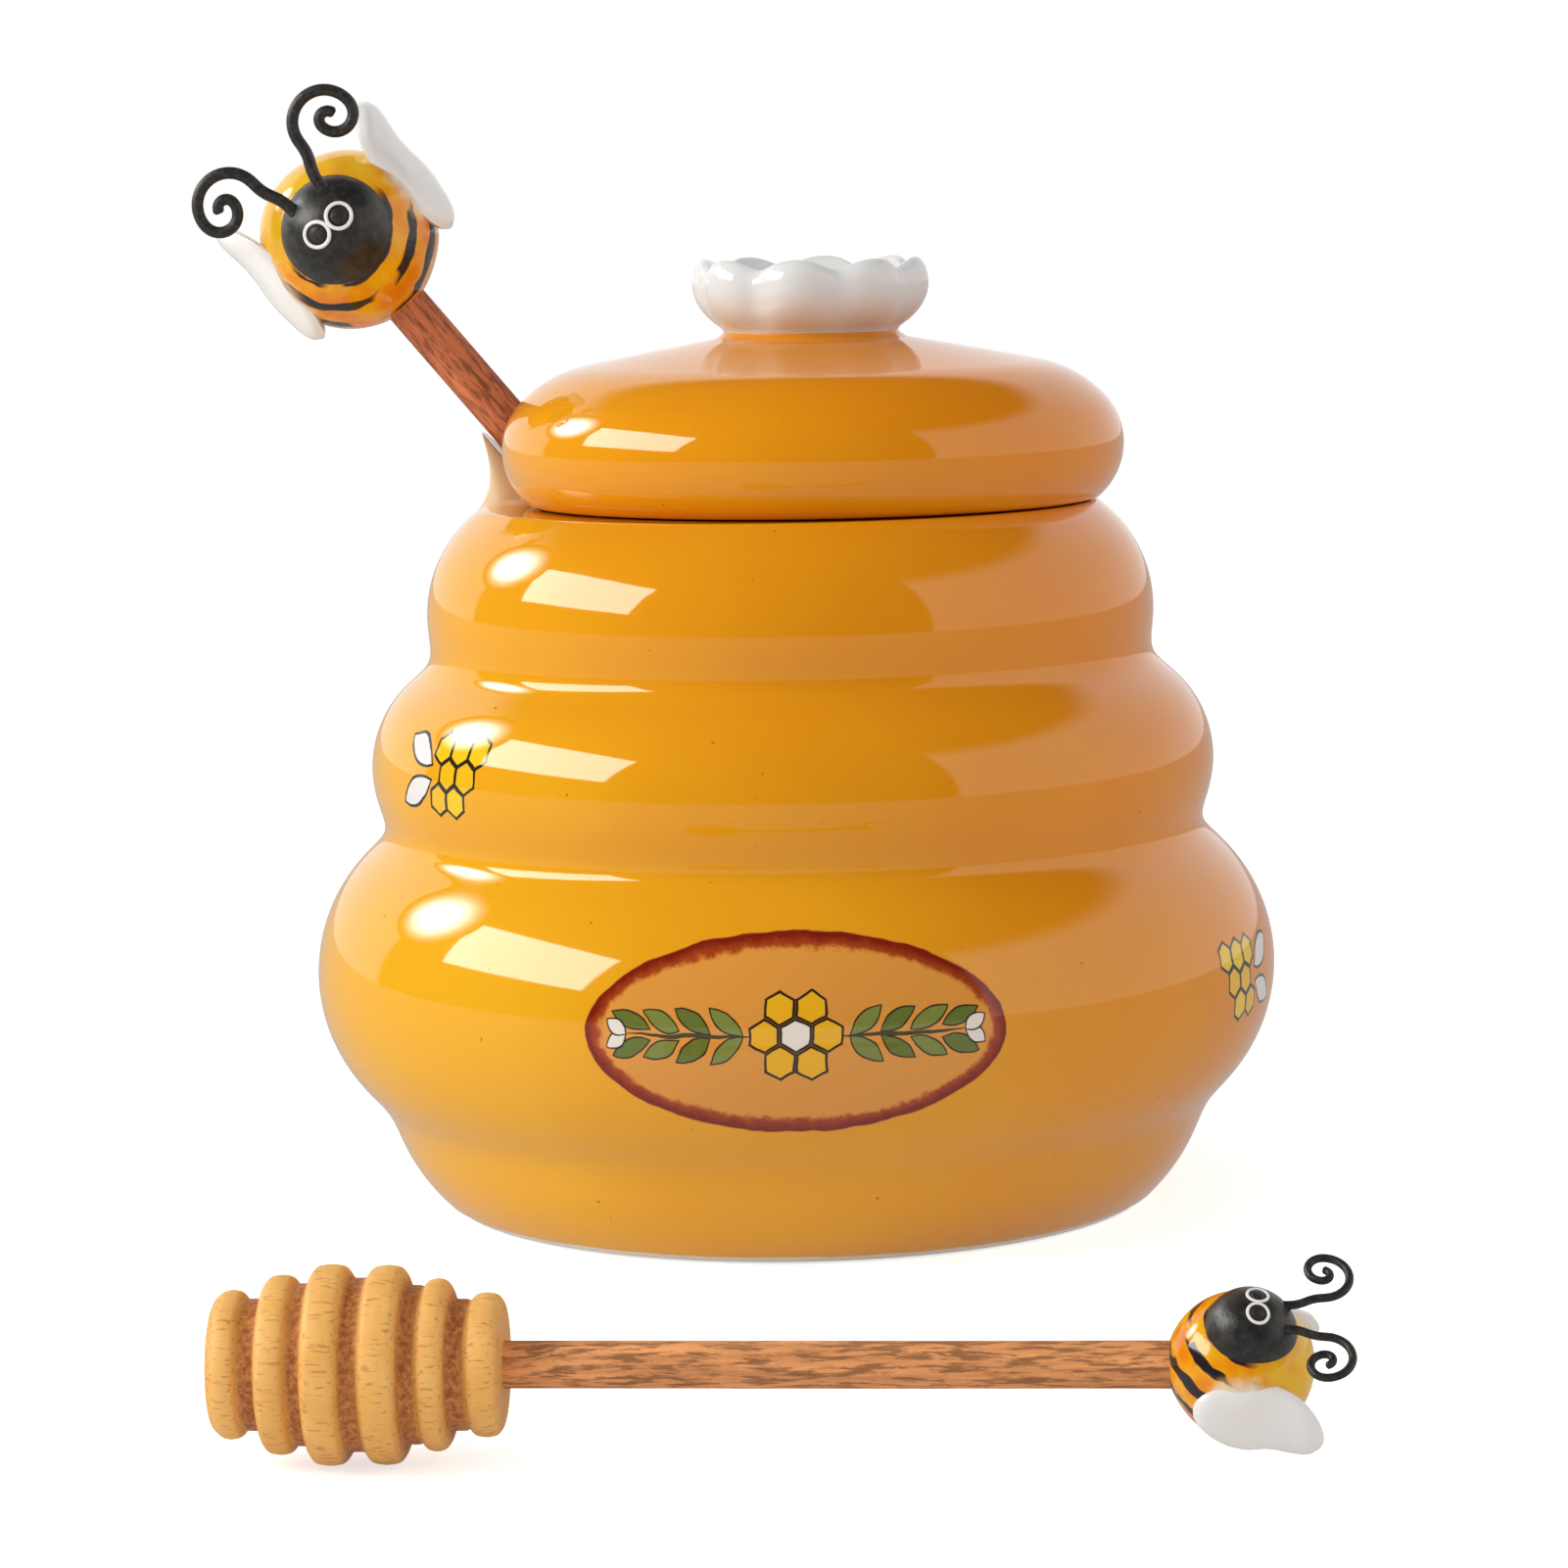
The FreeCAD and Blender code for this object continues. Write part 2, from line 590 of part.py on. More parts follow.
def make_eyes(tag, prefix):
    # White rings and black pupils, raised a little on the front of the head.
    skin = cut(f"{prefix}face_skin",
               primitive("Sphere", f"{prefix}skin_outside", face_spot(tag),
                         Radius=f"{tag}.face_radius + {tag}.glue_gap + {tag}.eye_height"),
               primitive("Sphere", f"{prefix}skin_inside", face_spot(tag),
                         Radius=f"{tag}.face_radius + {tag}.glue_gap"))
    rings = []
    pupils = []
    for side, sign in SIDES:
        rods = []
        for name, radius in (("outside", "eye_radius"), ("inside", f"eye_radius - {tag}.eye_line"),
                             ("pupil", "pupil_radius")):
            rods.append(primitive(
                "Cylinder", f"{prefix}eye_{name}_{side}",
                face_spot(tag, f"{sign} * {tag}.eye_spread", "0", f"{tag}.eye_rise", "90", "1; 0; 0"),
                Radius=f"{tag}.{radius}", Height=f"2 * {tag}.face_radius"))
        rings.append(cut(f"{prefix}eye_tube_{side}", rods[0], rods[1]))
        pupils.append(rods[2])
    made = []
    for name, rods in (("eye_rims", rings), ("pupils", pupils)):
        both = joined("MultiFuse", f"{prefix}{name}_rods", rods)
        made.append(joined("MultiCommon", f"{prefix}{name}", [both, skin]))
    return made


def make_dipper(tag, prefix):
    placed = [make_head(tag, prefix), make_bee_body(tag, prefix), make_bee_head(tag, prefix)]
    placed += [make_wing(tag, prefix, side, sign) for side, sign in SIDES]
    placed += make_eyes(tag, prefix)
    for piece in placed:
        piece.setExpression("Placement", dipper_place(tag))
    feelers = [make_feeler(tag, prefix, side, sign) for side, sign in SIDES]
    return placed + feelers + [make_stick(tag, prefix)]


def check_shapes(nodes):
    for item in doc.Objects:
        if "Invalid" in item.State or "Error" in item.State:
            raise RuntimeError(f"{item.Name}: {item.State}")
    for node in nodes:
        if node.Shape.isNull() or not node.Shape.isValid():
            raise RuntimeError(f"{node.Name}: bad shape")


for sheet_name, cells in SIZES.items():
    add_sheet(sheet_name, cells)
places = add_sheet("Place", PLACES)

nodes = [make_pot(), make_lid(), make_knob()]
nodes += make_dipper("Dipper", "")
nodes += make_dipper("Spare", "spare_")
doc.recompute()
check_shapes(nodes)

os.makedirs("parts", exist_ok=True)
for node in nodes:
    node.Label = node.Name
    node.Shape.exportStep(f"parts/{node.Label}.step")
    box = node.Shape.BoundBox
    print(node.Label, len(node.Shape.Solids), round(node.Shape.Volume), box)
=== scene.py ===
import math

import bpy
import bmesh
import numpy as np
from mathutils import Matrix, Vector


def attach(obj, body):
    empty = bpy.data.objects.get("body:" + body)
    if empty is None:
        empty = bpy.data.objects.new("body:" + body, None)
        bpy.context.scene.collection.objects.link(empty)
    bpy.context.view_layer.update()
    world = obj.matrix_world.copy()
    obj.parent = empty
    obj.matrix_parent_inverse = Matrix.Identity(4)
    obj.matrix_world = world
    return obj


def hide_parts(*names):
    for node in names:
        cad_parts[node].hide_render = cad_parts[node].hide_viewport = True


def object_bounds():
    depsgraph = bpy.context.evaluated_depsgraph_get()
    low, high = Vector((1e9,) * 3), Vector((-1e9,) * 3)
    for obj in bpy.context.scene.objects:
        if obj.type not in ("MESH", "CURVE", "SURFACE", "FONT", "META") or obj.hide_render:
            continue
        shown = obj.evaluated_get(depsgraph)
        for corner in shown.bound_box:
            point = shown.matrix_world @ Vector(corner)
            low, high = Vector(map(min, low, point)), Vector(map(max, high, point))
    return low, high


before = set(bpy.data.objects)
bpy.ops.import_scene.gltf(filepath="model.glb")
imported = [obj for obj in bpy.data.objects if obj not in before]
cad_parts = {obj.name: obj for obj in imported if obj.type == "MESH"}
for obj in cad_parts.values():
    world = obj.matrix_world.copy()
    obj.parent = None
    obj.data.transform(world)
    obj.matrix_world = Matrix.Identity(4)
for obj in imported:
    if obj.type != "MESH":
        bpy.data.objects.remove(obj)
cad_low, cad_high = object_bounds()

# Sizes are in millimetres in the part's frame: +Z up, origin at the centre of the foot, viewer at -Y.
MM = 0.001

# Camera, worked out from the pot's outline in a square frame.
FRAME_PIXELS = 1601
FOCAL_PIXELS = 5250
SENSOR = 36.0
EYE = (-1.26, -697.85, 141.96)
PITCH = 6.99
ROLL = -1.0

# Pot: radius and height at the foot, the rings and the grooves between them.
FOOT = (47.85, 0.0)
HEEL = (51.1, 3.24)
LOW_GROOVE = (56.1, 13.7)
BELLY = (65.5, 32.2)
MID_GROOVE = (54.6, 51.1)
WAIST = (57.5, 59.9)
HIGH_GROOVE = (48.2, 73.8)
SHOULDER = (48.0, 87.6)
RIM = (41.8, 95.0)
WALL = 5.0
FLOOR_THICK = 6.0
MOUTH_RADIUS = 34.0
THROAT = 7.0
GROOVE_SOFTNESS = 2.4

# Oval panel on the belly: its angle and height, half its width and height, and the motif's size and cells.
PANEL_AT = (-0.3, 32.7)
PANEL = (27.3, 12.75)
MOTIF = 1.02
COMB = ((0.0, 0.0), (-3.9, 0.0), (3.9, 0.0), (-1.95, 3.4), (1.95, 3.4), (-1.95, -3.4), (1.95, -3.4))
CELL = 1.62

# Small prints: angle, radius, height and the way they face, and the places and spacing of their cells.
PRINTS = ((-52.0, 57.0, 62.6, 1), (65.0, 65.0, 33.0, -1))
SMALL_COMB = ((0, 0), (1.7, 3.0), (1.7, -3.0), (3.4, 0), (5.1, 3.0), (-1.7, 3.0), (-1.7, -3.0))
COMB_SPACING = 1.12

# Columns of the pot's mesh, closer together where the lip is, and rows of its foot and rim.
LIP_SECTOR = (math.radians(-24), math.radians(40))
LIP_COLUMNS = 150
PLAIN_COLUMNS = 140
FOOT_ROWS = ((0, 0), (40.0, 0), (46.6, 0), (47.5, 0.15), (48.1, 0.6))
RIM_ROWS = 44

# Standing dipper: its lean, where its axis crosses the rim's level, its bore, and how its head rests.
LEAN = 39.7
BACK = 18.0
CROSSING = (-29.9, BACK, RIM[1])
BORE = 3.5
HEAD_END = 9.6
HEAD_GAP = 0.3

# Lip: places along the stick and below it, its spread to the sides, and the middle of the pale reflection
# painted on it.
LIP_START = 86.0
LIP_SLOPE = ((2.6, 17.2), (4.3, 13.4), (5.5, 11.0), (6.5, 8.4), (7.3, 6.4), (8.1, 5.0), (9.2, 4.2),
             (10.9, 3.9), (12.6, 3.85), (14.4, 3.85), (16.2, 3.85))
LIP_INSIDE = ((16.2, 3.6), (14.0, 3.58), (11.0, 3.56), (8.0, 3.56), (5.5, 3.56), (3.2, 3.56))
LIP_FLAT = 2.4
LIP_FOOT_SPREAD = 17.0
LIP_TOP_SPREAD = 7.0
LIP_AHEAD = 1.25
LIP_NARROWING = 0.80
LIP_CURL = 0.62
LIP_SMOOTHING = 48
LIP_MIDDLE = (-39.5, 13.0, 99.0)

# Lid, on its own axis, with the notch for the stick.
LID_SHIFT = 3.45
LID_BASE = 95.15
LID_BOTTOM = (38.5, 0.0)
LID_SIDE = (42.1, 6.6)
LID_EDGE = (38.6, 14.8)
LID_BROW = (35.9, 16.8)
LID_CROWN = (30.8, 18.7)
LID_SLOPE = (22.0, 20.4)
LID_TOP = 22.2
LID_WALL = 5.0
SKIRT_RADIUS = 30.2
SKIRT_WALL = 4.0
SKIRT_DEPTH = 6.0
NOTCH = 5.25
NOTCH_SPAN = (-40.0, 60.0)

# Flower knob.
NECK = 11.8
PETALS = 8
PETAL_RING = 9.7
PETAL_RADIUS = 6.4
PETAL_CREASE = 1.35
FRONT_PETAL = -98.0

# Dippers: sizes, wood, the bee's roll and wire, and how far forward its face and far back its far wing sit.
DIPPERS = {
    "": {
        "body": "dipper", "reach": 154.5, "stick": 3.15, "socket": 12.0,
        "head_length": 37.6, "head_scale": 13.0 / 11.05, "wood": (0.50, 0.140, 0.046),
        "bee_scale": 1.0, "bee_socket": 7.0, "roll": 0.0,
        "wire": 0.86, "face": 7.2, "far_wing": 0.0,
    },
    "spare_": {
        "body": "spare_dipper", "reach": 112.2, "stick": 2.66, "socket": 9.0,
        "head_length": 32.0, "head_scale": 1.0, "wood": (0.70, 0.285, 0.098),
        "bee_scale": 8.15 / 12.5, "bee_socket": 4.2, "roll": -14.0,
        "wire": 0.76, "face": 7.7, "far_wing": 3.0,
    },
}
BEE_RADIUS = 12.5
FACE_RADIUS = 7.88
FACE_RISE = 1.4

# Eyes: the sphere they lie on, their places, and the sizes of their rings and pupils.
EYE_BASE = 7.9
EYE_AT = (1.95, 1.3)
EYE_RING = 1.72
EYE_WIRE = 0.28
PUPIL = 1.24
PUPIL_HEIGHT = 0.36
PUPIL_SINK = -0.3

# Dark rings round a bee's face: angle from the face and width.
BEE_STRIPES = ((0.70, 0.030), (1.00, 0.062), (1.40, 0.080), (1.80, 0.085), (2.20, 0.080), (2.60, 0.075))

# Loose dipper: where its head's end lies, and how far it is turned on the table and rolled.
LYING_AT = (-64.8, -145.0, 11.05)
LYING_TURN = -4.3
LYING_ROLL = -40.0

# Colours as linear red, green and blue, or as two such colours that are mixed in patches.
# Honey glaze: deep orange, and a lighter yellow that is painted light on the lit side and the foot, blended
# with random mottling.
HONEY_AND_PAINTED_LIGHT = ((0.72, 0.232, 0.002), (0.83, 0.412, 0.012))
PIT_BROWN = (0.42, 0.13, 0.01)
# Pale colour painted on the lip as a reflection of white.
PAINTED_LIP_REFLECTION = (0.96, 0.88, 0.66)
BARE_CLAY = (0.92, 0.85, 0.72)
PANEL_GROUND = (0.72, 0.305, 0.050)
PANEL_BORDER = ((0.20, 0.010, 0.002), (0.40, 0.060, 0.008))
LEAF_GREENS = ((0.20, 0.24, 0.05), (0.13, 0.17, 0.03))
INK = (0.022, 0.014, 0.010)
STEM_BROWN = (0.05, 0.045, 0.014)
BUD_WHITE = (0.80, 0.74, 0.68)
LEAF_WHITE = (0.78, 0.75, 0.74)
WING_WHITE = ((0.82, 0.81, 0.80), (0.88, 0.875, 0.87))
PETAL_WHITE = ((0.71, 0.725, 0.735), (0.79, 0.80, 0.805))
BEECH = ((0.86, 0.440, 0.095), (0.94, 0.530, 0.145))
GROOVE_BROWN = ((0.34, 0.090, 0.014), (0.64, 0.250, 0.055))
BEE_ORANGE = ((0.80, 0.235, 0.003), (0.86, 0.420, 0.006))
BEE_YELLOW = (0.90, 0.60, 0.035)
BEE_BLACK = (0.020, 0.014, 0.018)
BLACK = ((0.012, 0.011, 0.010), (0.040, 0.037, 0.034))

# Gap kept from the faces of the solids' box, in metres.
BOX_MARGIN = 0.00005

# Floor: white seen by the eye alone, white that light meets, and white in reflections.
FLOOR_SHINE = 0.66
FLOOR_WHITE = 0.90
FLOOR_MIRRORED = 0.5

# Middle of the white part of the surroundings.
WHITE_SIDE = (0.595, 0.804, 0.0)

# Lamps: name, azimuth, elevation, distance, size, strength, tint, and whether they show in reflections.
LIGHTS = (
    ("window", -73, 28, 1.0, (0.76, 0.38), 8.0, (1.0, 0.98, 0.94), True),
    ("fill", 10, 32, 1.4, (1.2, 1.0), 0.70, (1.0, 0.88, 0.78), False),
    ("card", 80, 20, 1.3, (1.0, 0.9), 1.10, (1.0, 0.92, 0.86), False),
)
GLOW_AT = (-112, 30)
GLOW_RADIUS = 240.0
AIM = Vector((0, 0, 0.06))


def arc(start, via, end, count=40):
    """Points on the circle through three points, from start to end."""
    a, b, c = (complex(*p) for p in (start, via, end))
    w = (c - a) / (b - a)
    centre = -((a - b) * (w - abs(w) ** 2) / 2j / w.imag - a)
    half = np.angle((b - centre) / (a - centre))
    turn = np.angle((c - centre) / (a - centre))
    if half * turn < 0 or abs(half) > abs(turn):
        turn -= math.copysign(2 * math.pi, turn)
    points = centre + (a - centre) * np.exp(1j * np.linspace(0, turn, count))
    return np.stack([points.real, points.imag], 1)


def resample(line, step):
    """The same line with points every step along it."""
    line = np.asarray(line, float)
    run = np.concatenate([[0], np.cumsum(np.linalg.norm(np.diff(line, axis=0), axis=1))])
    keep = np.concatenate([[True], np.diff(run) > 1e-9])
    spots = np.linspace(0, run[-1], max(2, int(round(run[-1] / step)) + 1))
    return np.stack([np.interp(spots, run[keep], axis) for axis in line[keep].T], 1)


def soften(line, spread, step=0.4):
    """The line with its corners rounded over about spread; its ends stay."""
    line = resample(line, step)
    reach = min(int(4 * spread / step), len(line) - 1)
    weights = np.exp(-0.5 * (np.arange(-reach, reach + 1) * step / spread) ** 2)
    weights /= weights.sum()
    before = 2 * line[0] - line[reach:0:-1]
    after = 2 * line[-1] - line[-2:-reach - 2:-1]
    padded = np.concatenate([before, line, after])
    return np.stack([np.convolve(axis, weights, "valid") for axis in padded.T], 1)


def smoothstep(low, high, value):
    share = np.clip((value - low) / (high - low), 0, 1)
    return share * share * (3 - 2 * share)


def skin(name, rows, place=None, sharp=40):
    """A closed surface through rings of points; a ring of one point closes an end."""
    rows = [np.asarray(row, float).reshape(-1, 3) for row in rows]
    rings = []
    count = 0
    for row in rows:
        rings.append(range(count, count + len(row)))
        count += len(row)
    faces = []
    for low, high in zip(rings, rings[1:]):
        for here in range(max(len(low), len(high))):
            there = here + 1
            steps = ((low, here), (low, there), (high, there), (high, here))
            corners = [ring[step % len(ring)] for ring, step in steps]
            faces.append(tuple(dict.fromkeys(corners)))
    return solid(name, np.concatenate(rows) * MM, faces, place, sharp)


def solid(name, points, faces, place=None, sharp=40):
    mesh = bpy.data.meshes.new(name)
    mesh.from_pydata([tuple(p) for p in points], [], faces)
    mark_spots(mesh)
    if place is not None:
        mesh.transform(place)
    soft_faces(mesh, sharp)
    made = bpy.data.objects.new(name, mesh)
    bpy.context.scene.collection.objects.link(made)
    return made


def soft_faces(mesh, sharp):
    """Smooth shading, apart from edges that turn by more than sharp degrees."""
    mesh.polygons.foreach_set("use_smooth", [True] * len(mesh.polygons))
    mesh.set_sharp_from_angle(angle=math.radians(sharp))


def mark_spots(mesh):
    """Keeps each point's place in the piece's own frame, for the materials."""
    known = mesh.attributes.get("spot")
    if known:
        mesh.attributes.remove(known)
    spots = np.empty(len(mesh.vertices) * 3, np.float32)
    mesh.vertices.foreach_get("co", spots)
    mesh.attributes.new("spot", "FLOAT_VECTOR", "POINT").data.foreach_set("vector", spots)


def ring_of(radius, angles, height):
    """One ring of points; the radius and the height are single values or one per angle."""
    return np.stack([radius * np.cos(angles), radius * np.sin(angles), height + 0 * angles], 1)


def turned_rows(profile, angles):
    """Rings of points for a profile of (radius, height), closed at the axis."""
    rows = []
    for radius, height in profile:
        rows.append(ring_of(radius, angles, height) if radius >= 1e-6 else [(0, 0, height)])
    return rows


def circle(count):
    return np.linspace(0, 2 * math.pi, count, endpoint=False)


def kept_in_box(points, place):
    """Spots of a placed piece, held inside the box of the solids."""
    lows = [value + BOX_MARGIN for value in cad_low]
    highs = [value - BOX_MARGIN for value in cad_high]
    back = place.inverted()
    kept = []
    for point in points:
        spot = place @ Vector(point * MM)
        held = [min(max(value, low), high) for value, low, high in zip(spot, lows, highs)]
        kept.append(np.array(back @ Vector(held)) / MM)
    return np.array(kept)


def finish_piece(piece, material, body, node):
    """Gives a piece its material and its body, and hides the solid that it stands for."""
    piece.data.materials.append(material)
    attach(piece, body)
    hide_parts(node)


class Nodes:
    """The nodes of a material or world: small helpers that add a node and hand back an output."""

    def __init__(self, owner, bare=True):
        owner.use_nodes = True
        self.tree = owner.node_tree
        if bare:
            self.tree.nodes.clear()

    def plug(self, socket, value):
        """Links an output to a socket, or sets the socket to a value; a colour gets its alpha."""
        if isinstance(value, bpy.types.NodeSocket):
            self.tree.links.new(value, socket)
        elif socket.type == "RGBA":
            socket.default_value = (*value, 1)[:4]
        else:
            socket.default_value = value

    def node(self, kind, links=None, **settings):
        """The outputs of a new node, with its settings made and its inputs linked or set."""
        made = self.tree.nodes.new(f"ShaderNode{kind}")
        for key, value in settings.items():
            setattr(made, key, value)
        for key, value in (links or {}).items():
            self.plug(made.inputs[key], value)
        return made.outputs

    def math(self, operation, first, second=0.0):
        return self.node("Math", {0: first, 1: second}, operation=operation)[0]

    def times(self, first, second):
        return self.math("MULTIPLY", first, second)

    def plus(self, first, second):
        return self.math("ADD", first, second)

    def minus(self, first, second):
        return self.math("SUBTRACT", first, second)

    def vector(self, operation, first, second=(0, 0, 0)):
        made = self.node("VectorMath", {0: first, 1: second}, operation=operation)
        return made["Value" if operation in ("LENGTH", "DOT_PRODUCT") else "Vector"]

    def split(self, vector):
        return self.node("SeparateXYZ", {0: vector})

    def join(self, x, y, z=0.0):
        return self.node("CombineXYZ", {0: x, 1: y, 2: z})[0]

    def ramp(self, value, low, high, kind="SMOOTHSTEP"):
        span = {"Value": value, "From Min": low, "From Max": high}
        return self.node("MapRange", span, interpolation_type=kind)["Result"]

    def mix(self, share, first, second):
        return self.node("Mix", {0: share, 6: first, 7: second}, data_type="RGBA")[2]

    def bump(self, height, distance, strength):
        return self.node("Bump", {"Height": height, "Distance": distance, "Strength": strength})[0]


class Paint(Nodes):
    """A material with its shader, which knows each spot's place in its piece's own frame."""

    def __init__(self, name, **values):
        self.material = bpy.data.materials.new(name)
        super().__init__(self.material, bare=False)
        self.shader = self.tree.nodes["Principled BSDF"]
        self.set(**values)
        self.where = self.node("Attribute", attribute_name="spot")["Vector"]

    def set(self, **values):
        for key, value in values.items():
            self.plug(self.shader.inputs[key.replace("_", " ")], value)

    def noise(self, scale, detail=2.0, rough=0.5, where=None, stretch=None):
        spot = self.where if where is None else where
        if stretch:
            spot = self.vector("MULTIPLY", spot, stretch)
        links = {"Vector": spot, "Scale": scale, "Detail": detail, "Roughness": rough}
        return self.node("TexNoise", links)["Fac"]


def leaf(paint, spot, x, y, angle, length, width):
    """How far inside a pointed leaf each spot lies, in millimetres."""
    links = {"Vector": spot, "Location": (x, y, 0), "Rotation": (0, 0, angle)}
    moved = paint.node("Mapping", links, vector_type="TEXTURE")[0]
    along, across, _ = paint.split(moved)
    share = paint.math("DIVIDE", along, length)
    belly = paint.times(paint.minus(1.0, paint.times(share, share)), width)
    return paint.minus(belly, paint.math("ABSOLUTE", across))


def cell(paint, spot, x, y, radius):
    """How far inside a six-sided cell each spot lies, in millimetres."""
    moved = paint.vector("ABSOLUTE", paint.vector("SUBTRACT", spot, (x, y, 0)))
    across, up, _ = paint.split(moved)
    slant = paint.plus(paint.times(across, 0.5), paint.times(up, 0.866))
    return paint.minus(radius, paint.math("MAXIMUM", slant, across))


def draw(paint, colour, inside, fill, line=0.32, ink=INK, soft=0.07):
    """Lays an outlined shape over the colour."""
    outline = paint.ramp(inside, -line - soft, -line + soft)
    colour = paint.mix(outline, colour, ink)
    return paint.mix(paint.ramp(inside, -soft, soft), colour, fill)


def honey_glaze():
    paint = Paint("honey_glaze", IOR=1.6)
    cloud = paint.noise(34.0, 3.0)
    x, _, z = paint.split(paint.where)
    # Painted light: the glaze is painted lighter and yellower towards -X and towards the foot, where the
    # window lamp and the floor light it most, with random mottling from the cloud noise.
    drift = paint.plus(paint.times(x, -6.5), paint.times(z, -4.5))
    drift = paint.plus(drift, paint.times(cloud, 0.42))
    colour = paint.mix(paint.ramp(drift, -0.42, 0.36, "LINEAR"), *HONEY_AND_PAINTED_LIGHT)
    pits = paint.ramp(paint.noise(900.0, 1.0), 0.79, 0.82)
    colour = paint.mix(pits, colour, PIT_BROWN)
    return paint, colour


def glaze_finish(paint, colour):
    """Gloss that varies a little, over a slightly uneven surface."""
    gloss = {"Value": paint.noise(60.0, 3.0), "To Min": 0.03, "To Max": 0.07}
    fine = paint.node("MapRange", gloss)["Result"]
    paint.set(Base_Color=colour, Roughness=fine, Normal=paint.bump(paint.noise(70.0, 2.0), 0.00005, 0.35))


def lid_material():
    paint, colour = honey_glaze()
    glaze_finish(paint, colour)
    return paint.material


def pot_material():
    """Honey glaze with painted light and a painted reflection on the lip, a bare foot line, a framed oval and
    small comb and leaf prints.
    """
    paint, colour = honey_glaze()
    x, y, z = paint.split(paint.where)
    turn = paint.math("ARCTAN2", x, paint.times(y, -1.0))
    height = paint.math("DIVIDE", z, MM)

    # Painted reflection: the pulled lip is painted pale, standing in for the white that its glaze reflects.
    lip = tuple(MM * part for part in LIP_MIDDLE)
    off = paint.vector("LENGTH", paint.vector("SUBTRACT", paint.where, lip))
    lip_reflection = paint.times(paint.ramp(off, 17 * MM, 6 * MM), paint.ramp(height, 91.0, 97.0))
    colour = paint.mix(lip_reflection, colour, PAINTED_LIP_REFLECTION)
    wobble = paint.noise(260.0, 2.0)

    def canvas(degrees, radius, level):
        along = paint.times(paint.minus(turn, math.radians(degrees)), radius)
        along = paint.plus(along, paint.times(wobble, 0.9))
        up = paint.minus(height, level)
        up = paint.plus(up, paint.times(paint.noise(230.0, 2.0), 0.9))
        return paint.join(paint.minus(along, 0.45), paint.minus(up, 0.45))

    # Oval panel with a dry-brushed border.
    spot = canvas(PANEL_AT[0], BELLY[0], PANEL_AT[1])
    share = paint.vector("DIVIDE", spot, (*PANEL, 1.0))
    rim = paint.vector("LENGTH", share)
    steep = paint.vector("LENGTH", paint.vector("DIVIDE", share, (*PANEL, 1.0)))
    inset = paint.math("DIVIDE", paint.times(rim, paint.minus(1.0, rim)), steep)
    brush = paint.noise(520.0, 4.0, 0.7)
    colour = paint.mix(paint.ramp(inset, -0.12, 0.12), colour, PANEL_GROUND)
    ragged = paint.plus(inset, paint.times(paint.minus(brush, 0.5), 2.2))
    border = paint.times(paint.ramp(ragged, 2.3, 1.5), paint.ramp(inset, -0.12, 0.12))
    stain = paint.mix(paint.ramp(ragged, 0.2, 2.0), *PANEL_BORDER)
    colour = paint.mix(border, colour, stain)
    spot = paint.vector("DIVIDE", spot, (MOTIF, MOTIF, 1.0))
    for side in (-1, 1):
        for step in range(4):
            x_spot = side * (7.2 + 4.0 * step)
            lean = math.radians(40 - 6 * step)
            green = LEAF_GREENS[step % 2]
            for up in (-1, 1):
                angle = lean * up if side > 0 else math.pi - lean * up
                shape = leaf(paint, spot, x_spot + side * 1.5, up * 1.75, angle, 2.5, 0.95)
                colour = draw(paint, colour, shape, green, 0.22)
        stem = leaf(paint, spot, side * 13.2, 0.0, 0.0, 8.6, 0.26)
        colour = draw(paint, colour, stem, STEM_BROWN, 0.0)
        for up in (-1, 1):
            bud = leaf(paint, spot, side * 22.6, up * 0.8, math.radians(35 * side * up), 1.5, 0.85)
            colour = draw(paint, colour, bud, BUD_WHITE, 0.24)
    for count, (cx, cy) in enumerate(COMB):
        fill = (0.82, 0.76, 0.70) if count == 0 else (0.83, 0.44, 0.012)
        colour = draw(paint, colour, cell(paint, spot, cx, cy, CELL), fill, 0.33)

    # Small comb prints on the upper left and lower right, each with a pair of leaves.
    for degrees, radius, level, lean in PRINTS:
        spot = canvas(degrees, radius, level)
        for up in (-1, 1):
            shape = leaf(paint, spot, -lean * 7.6, up * 2.7, math.radians(24 * up * -lean), 3.9, 1.5)
            colour = draw(paint, colour, shape, LEAF_WHITE, 0.42)
        for count, (cx, cy) in enumerate(SMALL_COMB):
            fill = (0.84, 0.55, 0.010) if count % 3 else (0.82, 0.47, 0.010)
            inside = cell(paint, spot, lean * cx * COMB_SPACING, cy * COMB_SPACING, CELL)
            colour = draw(paint, colour, inside, fill, 0.42)

    edge = paint.plus(height, paint.times(wobble, 0.5))
    bare = paint.ramp(edge, 1.30, 1.05)
    colour = paint.mix(bare, colour, BARE_CLAY)
    glaze_finish(paint, colour)
    return paint.material


def white_glaze(name, tint, share):
    paint = Paint(name, IOR=1.5, Roughness=0.12)
    colour = paint.mix(paint.noise(90.0, 3.0), *WING_WHITE)
    pool = paint.ramp(paint.noise(150.0, 2.0), 0.52, 0.78)
    colour = paint.mix(paint.times(pool, share), colour, tint)
    paint.set(Base_Color=colour, Normal=paint.bump(paint.noise(260.0, 2.0), 0.00008, 0.3))
    return paint.material


